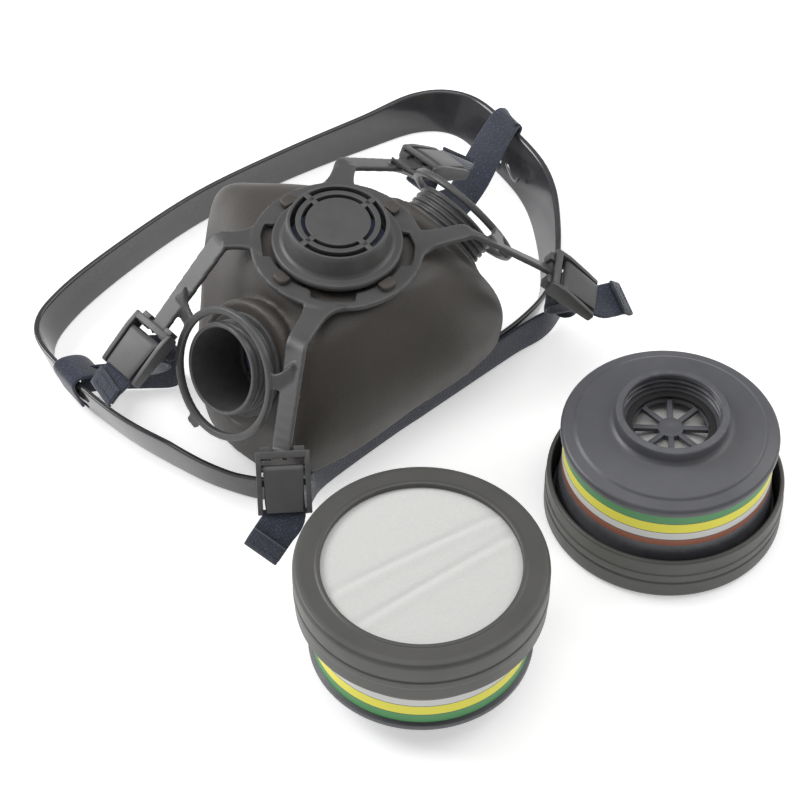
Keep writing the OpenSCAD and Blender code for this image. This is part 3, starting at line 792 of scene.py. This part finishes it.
def port_tube(where, s):
    """The port's tube, with its flange in the rubber and the thread outside."""
    flange = [(16, -28.6), (19.1, -28.6), (19.1, -12.5), (20.8, -12.5), (20.8, -11.2), (20.6, -11),
              (THREAD_RADIUS, -11)]
    rim_and_bore = [(18.2, -0.3), (17.8, 0), (16.9, 0), (16.6, -0.3), (16.5, -1.2), (16.2, -14)]
    profile = flange + climb(THREAD_RADIUS, THREAD_FOOT, -0.7) + rim_and_bore
    return lathe(profile, where, 128, helix(THREAD_RADIUS, THREAD_FOOT, -0.5, s, -1))


class RESPIRATOR_OT_ports(bpy.types.Operator):
    """Makes the two threaded ports with their seats, and finishes the flaps behind them"""
    bl_options = {"REGISTER", "UNDO"}
    bl_idname = "respirator.ports"
    bl_label = "Ports"

    def execute(self, context):
        low, high = SEAT
        for side in SIDES:
            where = port_frame(side)
            tube = port_tube(where, context.scene.respirator_sizes)
            seat = lathe(rounded([(14, low), (16.1, low), (16.1, high), (14, high)], 0.4), where)
            hub = lathe([(0, low), (3, low), (3, high - 0.3), (2.7, high), (0, high)], where, 48)
            arm = block((2, 15.8), (-0.9, 0.9), SEAT, Matrix.Identity(4))
            arm = soft_edges(solid("arm", [arm]), 0.25 / MM)
            turned = where @ Matrix.Rotation(math.radians(SEAT_TURN[side]), 4, "Z")
            arms = copies("arms", arm, 3, finish("moulded_plastic"), turned, arc=(0, 0, TURN / 3))
            obj = join(solid(side + "_port", [tube, seat, hub]), arms)
            dress(mark_edges(obj), "moulded_plastic", "root", [side + "_inlet_port"])
            keep(side + "_inhalation_flap", "valve_rubber")
        return {"FINISHED"}


# ---- exhalation valve ----
COVER_TOP = 15.2
COVER_UNDER = 12.8


def cover_profiles():
    """The cover's wall, its middle ring and its plate, which two rings of slots part."""
    wall = [(22.6, 2.7), (25.4, 2.7), (25.9, 3.2), (25.9, 4.6), (25.3, 5.3), (22.8, 5.6), (21.5, 6.6),
            (20.4, 13.6), (19.9, COVER_TOP), (18.7, COVER_TOP), (18.7, COVER_UNDER), (19.1, 12),
            (20, 6.4), (22.6, 4.6)]
    ring = [(14.4, COVER_UNDER), (16.7, COVER_UNDER), (16.7, COVER_TOP), (14.4, COVER_TOP)]
    plate = [(0, COVER_UNDER), (12.8, COVER_UNDER), (12.8, COVER_TOP), (0, COVER_TOP)]
    plate = [(max(0, r), z) for r, z in rounded(plate, 0.4)]
    return rounded(wall, 0.5), rounded(ring, 0.4), plate


class RESPIRATOR_OT_valve(bpy.types.Operator):
    """Makes the slotted cover and finishes the valve under it"""
    bl_options = {"REGISTER", "UNDO"}
    bl_idname = "respirator.valve"
    bl_label = "Exhalation valve"

    def execute(self, context):
        shells = [lathe(profile, VALVE, 120) for profile in cover_profiles()]
        spoke = block((12, 19.4), (-1.2, 1.2), (COVER_UNDER, COVER_TOP), Matrix.Identity(4))
        spoke = soft_edges(solid("spoke", [spoke]), 0.3 / MM)
        spokes = copies("spokes", spoke, 4, finish("moulded_plastic"), VALVE, arc=(0, 0, TURN / 4))
        obj = join(solid("valve_cover", shells), spokes)
        dress(mark_edges(obj), "moulded_plastic", "exhalation_cover", ["exhalation_cover"])
        keep("exhalation_valve_body", "moulded_plastic")
        keep("exhalation_flap", "valve_rubber")
        return {"FINISHED"}


# ---- yoke ----
CENTRE_RING = (26.3, 34)
NOTCH_DEPTH = 4
NOTCH_REACH = 19
PORT_RING_FACES = Vector((0.9135, 0, 0.4067))
PORT_RING_HEARTS = {"right": (63.8, -2.7, 57), "left": (64.1, -2.7, 59.4)}
NUB_TURN = 285
# Where an arm leaves the centre ring, the point of its bend, and how far along it the web starts
ARM_TURN = {"lower": -38, "upper": 48}
ARM_BEND = {"lower": (45, -25, 78), "upper": (33, 34, 82)}
WEB_START = {"lower": 0.38, "upper": 0.72}


def strip(half, thick, where):
    """A flat strip along X from pairs of length and half width."""
    outline = [(x, -w) for x, w in half] + [(x, w) for x, w in half[::-1]]
    return prism(outline, -thick / 2, thick / 2, where)


def blade(points, faces, widths, thick, where):
    """A flat strip along points, which looks along faces and has its own width at each."""
    path, looks = through(points, 5), through(faces, 5)
    wide = through([(w, 0, 0) for w in widths], 5)
    rings = []
    for i, p in enumerate(path):
        along = (path[min(i + 1, len(path) - 1)] - path[max(i - 1, 0)]).normalized()
        side = looks[i].cross(along).normalized()
        up = along.cross(side)
        w = wide[i].x / 2
        rings.append([where @ (p + side * x + up * y)
                      for x, y in ((-w, -thick / 2), (w, -thick / 2), (w, thick / 2), (-w, thick / 2))])
    return skin(rings)


def centre_ring(thick, steps=240):
    """The flat ring round the valve, with a wide notch over each lug."""
    inner, outer = CENTRE_RING
    rings = []
    for k in range(steps):
        a = TURN * k / steps
        past = (math.degrees(a) - 45) % 90
        notch = min(1, max(0, (NOTCH_REACH - min(past, 90 - past)) / 2.5))
        r = inner + NOTCH_DEPTH * notch
        rings.append([VALVE @ Vector((q * math.cos(a), q * math.sin(a), z))
                      for q, z in ((r, 0), (outer, 0), (outer, thick), (r, thick))])
    return skin(rings, True)


def port_ring(heart, where):
    """The ring that stands clear round a port, and its finger nub."""
    hub = where @ local_axes(heart, (0, 1, 0), PORT_RING_FACES)
    ring = rounded([(23.5, -1.5), (26.5, -1.5), (26.5, 1.5), (23.5, 1.5)], 0.9)
    nub = hub @ Matrix.Rotation(math.radians(NUB_TURN), 4, "Z")
    return [lathe(ring, hub, 120), block((25.5, 29.3), (-2.6, 2.6), (-1.4, 1.4), nub)]


def arm_end(corner):
    """An arm's end and its direction there, in the mask's frame of its side."""
    pivot = MASK.inverted() @ buckle_frame(corner)
    end = pivot @ Vector((0, 0, 0))
    out = (pivot @ Vector((1, 0, 0)) - end).normalized()
    if corner.startswith("right"):
        end.x, out.x = -end.x, -out.x
    return end, out


def yoke_arm(side, level, s):
    """The arm with its flared root and its pivot bar, and the web from it to the port ring."""
    thick, width, where = s.yoke_thickness, s.arm_width, side_frame(side)
    a = math.radians(ARM_TURN[level])
    root = MASK.inverted() @ VALVE @ Vector((29 * math.cos(a), 29 * math.sin(a), 0.9))
    bend = Vector(ARM_BEND[level])
    end, out = arm_end(side + "_" + level)
    near = end - out * 2.5
    first, second = (bend - root).normalized(), (near - bend).normalized()
    flare = [(x, 4.3 + 6 * math.exp(-(x - 1) / 3.5)) for x in (1, 2, 3, 4, 5, 6.5, 8, 10, 13, 16)]
    line = [root + first * 12, bend - first * 4, bend - first * 1 - UP * 0.1,
            bend + second * 1.2 - UP * 0.1, bend + second * 4.5, (bend + near) / 2, near, end - out * 0.4]
    faces = [UP, UP, Vector((0.3, 0, 0.9)), Vector((0.5, 0, 0.8)), Vector((0.7, 0, 0.7)),
             Vector((0.7, 0, 0.7)), Vector((0.5, 0, 0.8)), UP]
    widths = [width + 0.6] * 4 + [width + 0.8, width + 0.4, width - 0.4, width - 1]
    lying = where @ local_axes(end, out, UP) @ Matrix.Rotation(math.pi / 2, 4, "X")
    heart = Vector(PORT_RING_HEARTS[side])
    web = bend + (near - bend) * WEB_START[level]
    inward = web - heart
    inward = (inward - PORT_RING_FACES * inward.dot(PORT_RING_FACES)).normalized()
    rim = heart + inward * 25.5
    gusset = [(-1, 7.5), (1.5, 5.4), (3.5, 3.9), (6, 3), (max(7, (rim - web).length), 2.8)]
    return [strip(flare, thick, where @ local_axes(root, first, UP)),
            blade(line, faces, widths, thick, where),
            prism(disc(1.45, steps=20), -7.5, 7.5, lying),
            strip(gusset, thick, where @ local_axes(web, rim - web, PORT_RING_FACES))]


class RESPIRATOR_OT_yoke(bpy.types.Operator):
    """Moulds the yoke: centre ring, four arms, port rings, webs and pivot bars"""
    bl_options = {"REGISTER", "UNDO"}
    bl_idname = "respirator.yoke"
    bl_label = "Yoke"

    def execute(self, context):
        s = context.scene.respirator_sizes
        shells = [centre_ring(s.yoke_thickness)]
        for side in SIDES:
            shells += port_ring(Vector(PORT_RING_HEARTS[side]), side_frame(side))
            shells += yoke_arm(side, "lower", s) + yoke_arm(side, "upper", s)
        obj = cast(solid("yoke_frame", shells), 0.5, 4, 50)
        dress(mark_edges(obj, 2), "moulded_plastic", "root", ["yoke"])
        return {"FINISHED"}


# ---- buckles ----
RAIL = [(-0.8, -1.2), (1, -2.4), (23, -2.4), (23, 1.4), (17, 2.6), (6, 4.4), (-0.8, 4.4)]
RAIL_AT = 9.25
# Where each cross bar lies along the buckle, and its height
BARS = [((20.8, 23), (-2.4, -0.6)), ((10, 12.4), (-2.4, -0.8)), ((4.2, 6), (-2.4, -0.8))]
HEAD_BAR = [(-0.7, 2.9), (2.2, 2.9), (2.2, 4.5), (-0.7, 4.5)]
LEVER = [(4.6, 1.6), (6, 1), (8, 1.4), (22.4, 1.1), (22.6, 2.3), (6.4, 3.9), (4.6, 3.3)]
LEVER_HALF = 7.9


def buckle_shells(at):
    """The buckle's rails, the ears round its pivot and its bars."""
    lying = at @ Matrix.Rotation(math.pi / 2, 4, "X")
    shells = [prism(rounded(RAIL, 1, 3), y - 1, y + 1, lying) for y in (-RAIL_AT, RAIL_AT)]
    shells += [block((-2.6, 2.6), y, (-2.4, 2.4), at) for y in ((4.4, 8.4), (-8.4, -4.4))]
    shells += [block(x, (-8.8, 8.8), z, at) for x, z in BARS]
    return shells + [prism(rounded(HEAD_BAR, 0.5), -8.8, 8.8, lying)]


def lever_shells(at):
    """The lever's plate, which narrows and rounds off towards its sides, and its pin."""
    rings = []
    for k in range(9):
        y = -LEVER_HALF + 2 * LEVER_HALF * k / 8
        sink = 0.25 * (abs(y) / LEVER_HALF) ** 4
        rings.append([at @ Vector((x, y * (1 - 0.006 * x), z - sink)) for x, z in rounded(LEVER, 0.6, 3)])
    pin = prism(disc(1, LEVER_PIN, 24), -9.6, 9.6, at @ Matrix.Rotation(math.pi / 2, 4, "X"))
    return [skin(rings), pin]


class RESPIRATOR_OT_buckles(bpy.types.Operator):
    """Makes the four buckles and their levers"""
    bl_options = {"REGISTER", "UNDO"}
    bl_idname = "respirator.buckles"
    bl_label = "Buckles"

    def execute(self, context):
        for corner in CORNERS:
            at = buckle_frame(corner)
            obj = soft_edges(solid(corner + "_buckle_frame", buckle_shells(at)), 0.35)
            dress(mark_edges(obj), "moulded_plastic", corner + "_buckle", [corner + "_buckle"])
            obj = soft_edges(solid(corner + "_buckle_lever", lever_shells(at)), 0.25)
            dress(mark_edges(obj), "moulded_plastic", corner + "_lever", [corner + "_lever"])
        return {"FINISHED"}


# ---- straps ----
BAND_HEIGHT = 18
# Each strap's way from the cradle to its buckle and its width's direction there, in the mask's frame
STRAPS = {
    "right_upper": ([(-83, 69, 11), (-72, 64, 9), (-61, 55, 8.6), (-52, 48, 8.6), (-46, 50, 9),
                     (-49, 57, 12), (-58, 56, 19), (-69, 47, 30)],
                    [(0, 0, 1)] * 6 + [(0.3, 0.4, 1), (0, 1, 0.5)]),
    "left_upper": ([(138, 54, 19), (127, 49, 17.5), (113, 43, 15), (101, 39, 14.5), (91, 38, 19),
                    (83, 35, 32)],
                   [(0.25, -0.95, 0), (0.35, -0.9, -0.15), (0.3, -0.7, -0.5), (0.2, -0.6, -0.8),
                    (0.1, -0.8, -0.6), (0, -1, -0.2)]),
    "right_lower": ([(12, -33.8, 8.4), (-5, -33.5, 8.4), (-41, -34.5, 8.4), (-54, -39, 11),
                     (-64, -45, 22)],
                    [(0, 0, 1)] * 4 + [(0.5, -0.4, 0.8)]),
    "left_lower": ([(12, -33.8, 8.4), (30, -34, 8.4), (64, -34.5, 8.4), (80, -36, 9), (89, -38, 15),
                    (87, -42, 25)],
                   [(0, 0, 1)] * 4 + [(-0.2, -0.5, 0.8), (-0.5, -0.7, 0.3)]),
}
STANDS_FOR = {"right_upper": ["right_upper_strap"], "left_upper": ["left_upper_strap"],
              "right_lower": ["neck_strap"], "left_lower": []}
# The way up between the bars, under the lever and out, in the buckle's frame
BUCKLE_WAY = [(8, 0, -8.5), (8, 0, -5.5), (8, 0, -3.4), (8.3, 0, -1.4), (9.6, 0, -0.1), (13, 0, 0.2),
              (18, 0, 0.1), (24, 0, 0)]
# A free tail's skew in degrees, and its points past the buckle as length and height
TAIL_SKEW = {"right_upper": 12, "left_upper": 30, "right_lower": 38, "left_lower": 38}
DROOP = [(6, 0), (11, -1.8), (15, -4.6)]
TAIL_SPOTS = {"right_upper": [(3.5, -0.6), (6, -1.4), (8.5, -2.6)], "left_upper": DROOP,
              "right_lower": DROOP, "left_lower": [(6, 0.5), (11, 2.2), (15.5, 0.8)]}
STITCH_PITCH = 1.5


def tail_of(corner):
    """Points of the free tail past the buckle, and its width's direction, in the buckle's frame."""
    skew = math.radians(TAIL_SKEW[corner])
    return ([(24 + d * math.cos(skew), d * math.sin(skew), z) for d, z in TAIL_SPOTS[corner]],
            Vector((-math.sin(skew), math.cos(skew), 0)))


def band_wrap(foot, lean, out, low=4.5):
    """Points up the outside of the cradle's band, from a slot in it to over its top edge."""
    foot, out = Vector(foot), Vector(out).normalized()
    spots = [(low, 2.2), (BAND_HEIGHT * 0.6, 2.6), (BAND_HEIGHT - 1.5, 2.9), (BAND_HEIGHT + 1.4, 1.9),
             (BAND_HEIGHT + 2.4, -1.6)]
    return [foot + out * (lean * z / BAND_HEIGHT + off) + UP * z for z, off in spots]


def strap_route(corner):
    """A strap's points and width directions in the mask's frame, and the part of it in the buckle."""
    points, across = [[Vector(p) for p in row] for row in STRAPS[corner]]
    to_mask = MASK.inverted() @ buckle_frame(corner)
    tail, skewed = tail_of(corner)
    path = [to_mask @ Vector(p) for p in BUCKLE_WAY + tail]
    y = (to_mask.to_3x3() @ Vector((0, 1, 0))).normalized()
    sign = -1 if across[-1].dot(y) < 0 else 1
    points += [path[0] + (path[0] - path[1])] + path
    across += [y * sign] * (len(path) - 2)
    across += [(to_mask.to_3x3() @ skewed).normalized() * sign] * 3
    if corner == "left_upper":
        wrap = band_wrap((141, 60, 0), 10, (0.985, -0.17, 0))
        points = wrap + points
        across = [Vector((-0.17, -0.985, 0))] * len(wrap) + across
    return points, across, path


def band_loop(s):
    """The right upper strap's loop over the cradle's top edge and down inside it."""
    wrap = band_wrap((-84.2, 69, 0), 4, (-1, 0.05, 0))
    wrap += [Vector(p) for p in ((-81, 68.5, 18.2), (-77, 67.5, 15), (-74.6, 66.5, 10), (-74, 66, 5))]
    return ribbon(wrap, [Vector((0.1, 1, 0))] * len(wrap), s.strap_width, s.strap_thickness, MASK)


def hem(corner, s):
    """The doubled end of a tail, and two rows of stitches across it."""
    at = buckle_frame(corner)
    tail, skewed = tail_of(corner)
    end = Vector(tail[-1])
    run = (end - Vector(tail[-2])).normalized()
    normal = run.cross(skewed).normalized()
    fold = [end - run * 7 + normal * 1.3, end - run * 3 + normal * 1.3, end + run * 0.6 + normal * 1.1,
            end + run * 1.5 + normal * 0.5, end + run * 1.0 - normal * 0.1]
    shell = ribbon(fold, [skewed] * len(fold), s.strap_width - 0.3, s.strap_thickness * 0.9, at)
    lying = Matrix.Rotation(math.pi / 2, 4, "X")
    count = int((s.strap_width - 2) / STITCH_PITCH)
    rows = []
    for back in (1.2, 5.4):
        start = end - run * back + normal * 2 - skewed * (s.strap_width / 2 - 1)
        stitch = [(0, -0.55), (0.16, -0.4), (0.2, 0), (0.16, 0.4), (0, 0.55)]
        rows.append(copies("stitches", solid("stitch", [lathe(stitch, lying, 8)]), count,
                           finish("strap_webbing"), at @ local_axes(start, skewed.cross(normal), normal),
                           step=(0, STITCH_PITCH, 0)))
    return shell, rows


class RESPIRATOR_OT_straps(bpy.types.Operator):
    """Threads the elastic straps from the cradle through the buckles, with stitched tails"""
    bl_options = {"REGISTER", "UNDO"}
    bl_idname = "respirator.straps"
    bl_label = "Straps"

    def execute(self, context):
        s = context.scene.respirator_sizes
        for corner in STRAPS:
            points, across, path = strap_route(corner)
            shells = [ribbon(points, across, s.strap_width, s.strap_thickness, MASK)]
            if corner == "right_upper":
                shells.append(band_loop(s))
            fold, stitches = hem(corner, s)
            obj = join(solid(corner + "_webbing", shells + [fold], 60), *stitches)
            dress(obj, "strap_webbing", None, STANDS_FOR[corner] + [corner + "_strap_end"])
            before = MASK @ points[-len(path) - 1]
            tuple(MASK @ path[2])
            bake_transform(obj)
        return {"FINISHED"}


# ---- cradle ----
# The band's way round the mask: X and Y of its foot, and how far its top leans out
CRADLE = [(-84, 76, 4), (-78, 97, 5), (-60, 108, 3), (-25, 115, 1), (20, 118, 0), (65, 113, 0),
          (106, 104, 2), (132, 96, 6), (143, 82, 9), (141, 60, 10), (134, 30, 10), (118, 4, 8),
          (97, -18, 5), (72, -28.5, 1), (35, -29.5, 0), (-8, -29.5, 0), (-40, -30.5, 0),
          (-60, -26.5, 0), (-71.5, -8, 2), (-78, 14, 4), (-83, 42, 5)]
LOW_BAND = 12.6
SLOT = [(-8.4, -1.6), (8.4, -1.6), (8.4, 1.6), (-8.4, 1.6)]
# The middle of each strap slot, the way that the band faces there and the way it runs
SLOTS = [((142.6, 59.7, 4), (0.985, -0.17, 0), (0.17, 0.985, 0)),
         ((-85.2, 69, 3.6), (-1, 0.05, 0), (0.05, 1, 0))]
STAPLE = [(138.4, 44, 11), (136.6, 43.6, 12.4), (135.4, 41.6, 12), (135, 38.4, 8.6),
          (135.6, 36.6, 7), (137, 36.4, 8)]
STAPLE_WIRE = 1.3


def band_rings(thick):
    """Cross sections of the band, which is low along the chin and rises behind it."""
    line = through(CRADLE, 8, True)
    rings = []
    for i, p in enumerate(line):
        run = line[(i + 1) % len(line)] - line[i - 1]
        out = Vector((-run.y, run.x, 0)).normalized()
        height = LOW_BAND if p.y < -12 else min(BAND_HEIGHT, LOW_BAND + (p.y + 12) / 5)
        rise = out * p.z + UP * height
        section = rounded([(-thick / 2, 0), (thick / 2, 0), (thick / 2, rise.length),
                           (-thick / 2, rise.length)], 1.1, 4)
        rings.append([MASK @ (Vector((p.x, p.y, 0)) + out * x + rise.normalized() * y)
                      for x, y in section])
    return rings


class RESPIRATOR_OT_cradle(bpy.types.Operator):
    """Sweeps the glossy head cradle and cuts its strap slots"""
    bl_options = {"REGISTER", "UNDO"}
    bl_idname = "respirator.cradle"
    bl_label = "Head cradle"

    def execute(self, context):
        thick = context.scene.respirator_sizes.cradle_thickness
        obj = solid("cradle_band", [skin(band_rings(thick), True)], 50)
        cut(obj, *[prism(rounded(SLOT, 1.4), -6, 6, MASK @ local_axes(at, run, out))
                   for at, out, run in SLOTS])
        shade(obj, 40)
        dress(mark_edges(obj), "cradle_plastic", "root", ["head_cradle"])
        loop = ribbon([Vector(p) for p in STAPLE], [UP] * len(STAPLE), STAPLE_WIRE, STAPLE_WIRE, MASK)
        dress(solid("cradle_staple", [loop], 60), "staple_wire", "root")
        return {"FINISHED"}


# ---- cartridges ----
LABEL = (24.7, 42)
COLLAR_BORE = 18.7
GRATE = (45, 47)
PAD_RADIUS = 43
PAD_BACK = 5.5
# Slope and offset of the two creases pressed across a pad
CREASES = [(0.62, -7), (0.5, 9)]


def canister(which, body, at, s):
    """The case with its dome, its threaded collar and the grate of spokes in it."""
    outer = [(39.2, 6.1), (43.6, 6.1), (43.6, 8.5), (41, 8.5), (41, 24.2), (40.6, 24.5), (40.6, 42.2),
             (41, 42.5), (42.3, 43), (42.3, 45.2), (41.4, 46.2), (37.5, 47.2), (36.6, 48),
             (24.6, 49.9), (23.4, 50.2), (21.9, 51.3), (21.9, 55.7), (21.2, 56.5)]
    inside = [(19.3, 56.5), (18.9, 56.2)] + climb(COLLAR_BORE, 55.9, 49)
    inside += [(COLLAR_BORE, 48.8), (17.5, 48.8), (17.5, 47), (14.5, 47), (14.5, 45), (21.9, 45), (38, 43),
               (39.2, 41)]
    wall = lathe(rounded(outer, 0.5, 2)[3:-3] + inside, at, 144, helix(COLLAR_BORE, 49, 56, s, 1))
    low, high = GRATE
    hub = lathe(rounded([(0, low), (5, low), (5, high), (4.6, 47.2), (0, 47.2)], 0.3, 2), at, 48)
    spoke = soft_edges(solid("spoke", [block((4, 15.4), (-1.1, 1.1), GRATE, Matrix.Identity(4))]), 0.3 / MM)
    spokes = copies("spokes", spoke, 8, finish("case_plastic"), at, arc=(0, 0, TURN / 8))
    obj = join(solid(which + "_canister", [wall, hub]), spokes)
    dress(mark_edges(obj), "case_plastic", body, [which + "_case"])


def label_band(which, body, at):
    """The printed band round the case."""
    low, high = LABEL
    band = lathe([(40.65, low)] + climb(40.97, low, high, 2) + [(40.65, high)], at, 144,
                 along=lambda z: (high - z) / (high - low))
    dress(solid(which + "_stripes", [band]), "filter_label", body, [which + "_label"])


def inner_fleece(which, body, at):
    """The fleece under the dome, which bulges up into the collar."""
    bulge = [(r, 41 + 3.4 * math.cos(min(1, r / 15) * math.pi / 2) ** 0.7)
             for r in (15, 13.5, 11, 8, 5, 2.5, 0)]
    fluff = lathe([(0, 40), (39, 40), (39, 41)] + bulge, at, 96)
    dress(solid(which + "_fleece", [fluff]), "filter_pad", body, [which + "_inner_fleece"])


def retainer(which, body, at):
    """The snap-on ring that holds the pad."""
    corners = [(36.8, 0.5), (37.3, 0), (38.3, 0), (38.9, 0.45), (44.2, 0.45), (46.2, 0.9), (47, 2.4),
               (47, 8.9), (46.5, 9.3), (46.5, 10.3), (47, 10.7), (47, 13.8), (46.6, 14.1),
               (46.6, 20.3), (46, 21), (44.7, 21), (44.7, 2.1), (36.8, 2.1)]
    obj = solid(which + "_filter_retainer", [lathe(rounded(corners, 0.6, 3), at, 160)])
    dress(mark_edges(obj), "retainer_plastic", body, [which + "_retainer"])


def pad_face(x, y, crown):
    """Depth of a pad's face: a crown, two creases and a faint ripple."""
    r = math.hypot(x, y)
    swell = crown * (1 - min(1, r / 37) ** 2.4)
    lift = 0.0
    for slope, off in CREASES:
        d = (y - slope * x - off) / math.hypot(1, slope)
        lift += 0.8 * math.exp(-(d / 1.3) ** 2) - 0.35 * math.exp(-((d - 3) / 2.2) ** 2)
    ripple = 0.12 * noise.noise(Vector((x, y, 0)) / 9)
    fade = min(1, max(0, (40 - r) / 5))
    return 2.2 - swell + (lift + ripple) * fade * 0.8


def pad(which, body, at, crown):
    """The pressed fleece pad, crowned and creased."""
    steps, rings = 144, []
    for k in range(steps):
        a = TURN * k / steps
        ring = [Vector((0, 0, pad_face(0, 0, crown)))]
        for i in range(1, PAD_RADIUS):
            x, y = i * math.cos(a), i * math.sin(a)
            ring.append(Vector((x, y, pad_face(x, y, crown))))
        x, y = PAD_RADIUS * math.cos(a), PAD_RADIUS * math.sin(a)
        ring += [Vector((x, y, 2.5)), Vector((x, y, PAD_BACK)), Vector((0, 0, PAD_BACK))]
        rings.append([at @ p for p in ring])
    obj = solid(which + "_filter_pad", [skin(rings, True)], 60)
    dress(obj, "filter_pad", body, [which + "_pad"])


class RESPIRATOR_OT_cartridges(bpy.types.Operator):
    """Turns the two cartridges with their labels, collars, retainers and pads"""
    bl_options = {"REGISTER", "UNDO"}
    bl_idname = "respirator.cartridges"
    bl_label = "Cartridges"

    def execute(self, context):
        s = context.scene.respirator_sizes
        for which in ("first", "second"):
            at = cartridge_frame(which)
            body, cap = which + "_cartridge", which + "_retainer"
            canister(which, body, at, s)
            label_band(which, body, at)
            inner_fleece(which, body, at)
            retainer(which, cap, at)
            pad(which, cap, at, s.pad_crown)
            keep(which + "_gasket", "gasket_rubber")
            keep(which + "_carbon_bed", "carbon")
            keep(which + "_screen", "case_plastic")
        return {"FINISHED"}


# ---- stage ----
FLOOR_HALF = 3000
FLOOR_GLOW = 0.42
WORLD_LIGHT = 0.38
# Each lamp's place from the middle of the set, its width and its watts
LAMPS = {"window": ((-0.7, 1.2, 1.1), 0.9, 20), "fill": ((1.2, -0.5, 1.1), 1.0, 9),
         "sky": ((0.1, 0.1, 1.9), 1.5, 12)}
SET_MIDDLE = Vector((12.2, -20.7, 0))
CAMERA_AROUND = -42.8
CAMERA_RISE = 47.53
CAMERA_AWAY = 1.0342
LENS = 112.5


def aimed(name, data, aim, offset):
    """Puts a lamp or a camera at an offset from its aim and turns it there."""
    obj = bpy.data.objects.new(name, data)
    obj.location = aim + offset
    obj.rotation_euler = (-offset).to_track_quat("-Z", "Y").to_euler()
    bpy.context.scene.collection.objects.link(obj)
    return obj


class RESPIRATOR_OT_stage(bpy.types.Operator):
    """Sets the pale floor, the soft lights and the camera"""
    bl_options = {"REGISTER", "UNDO"}
    bl_idname = "respirator.stage"
    bl_label = "Stage"

    def execute(self, context):
        scene = context.scene
        reach = (-FLOOR_HALF, FLOOR_HALF)
        floor = solid("floor", [block(reach, reach, (-20, 0), Matrix.Scale(MM, 4))])
        f = Finish("floor_paper", 0.7)
        shadow = f.blend(f.grain(6), (0.86, 0.86, 0.87), (0.89, 0.89, 0.89))
        f.shader.inputs["Emission Color"].default_value = (1, 1, 1, 1)
        f.shader.inputs["Emission Strength"].default_value = FLOOR_GLOW
        floor.data.materials.append(f.paint(shadow, 0.7, f.grain(400), 0.01))
        scene.world = bpy.data.worlds.new("studio")
        scene.world.use_nodes = True
        sky = scene.world.node_tree.nodes["Background"]
        sky.inputs["Color"].default_value = (1, 1, 1, 1)
        sky.inputs["Strength"].default_value = WORLD_LIGHT
        scene.view_settings.view_transform = "Standard"
        aim = MASK @ SET_MIDDLE
        for name, (offset, wide, watts) in LAMPS.items():
            lamp = bpy.data.lights.new(name, "AREA")
            lamp.size, lamp.energy = wide, watts
            aimed(name, lamp, aim, Vector(offset))
        around, rise = math.radians(CAMERA_AROUND), math.radians(CAMERA_RISE)
        back = Vector((math.sin(around) * math.cos(rise), -math.cos(around) * math.cos(rise), math.sin(rise)))
        lens = bpy.data.cameras.new("camera")
        lens.lens, lens.sensor_width = LENS, 36
        scene.camera = aimed("camera", lens, aim, back * CAMERA_AWAY)
        return {"FINISHED"}


MAKERS = (RESPIRATOR_OT_stage, RESPIRATOR_OT_facepiece, RESPIRATOR_OT_ports, RESPIRATOR_OT_valve,
          RESPIRATOR_OT_yoke, RESPIRATOR_OT_buckles, RESPIRATOR_OT_straps, RESPIRATOR_OT_cradle,
          RESPIRATOR_OT_cartridges)


class RESPIRATOR_PT_panel(bpy.types.Panel):
    """Lists the makers of the respirator's pieces"""
    bl_label = "Respirator"
    bl_idname = "RESPIRATOR_PT_panel"
    bl_space_type = "VIEW_3D"
    bl_region_type = "UI"
    bl_category = "Respirator"

    def draw(self, context):
        for maker in MAKERS:
            self.layout.operator(maker.bl_idname)
        for group in (context.scene.respirator_sizes, context.scene.respirator_colours):
            box = self.layout.box()
            for name in group.__annotations__:
                box.prop(group, name)


CLASSES = (RespiratorSizes, RespiratorColours, *MAKERS, RESPIRATOR_PT_panel)


def register():
    for cls in CLASSES:
        bpy.utils.register_class(cls)
    bpy.types.Scene.respirator_sizes = PointerProperty(type=RespiratorSizes)
    bpy.types.Scene.respirator_colours = PointerProperty(type=RespiratorColours)


def unregister():
    del bpy.types.Scene.respirator_colours
    del bpy.types.Scene.respirator_sizes
    for cls in reversed(CLASSES):
        bpy.utils.unregister_class(cls)


def main():
    register()
    for maker in MAKERS:
        getattr(bpy.ops.respirator, maker.bl_idname.split(".")[1])()


if __name__ == "__main__":
    main()
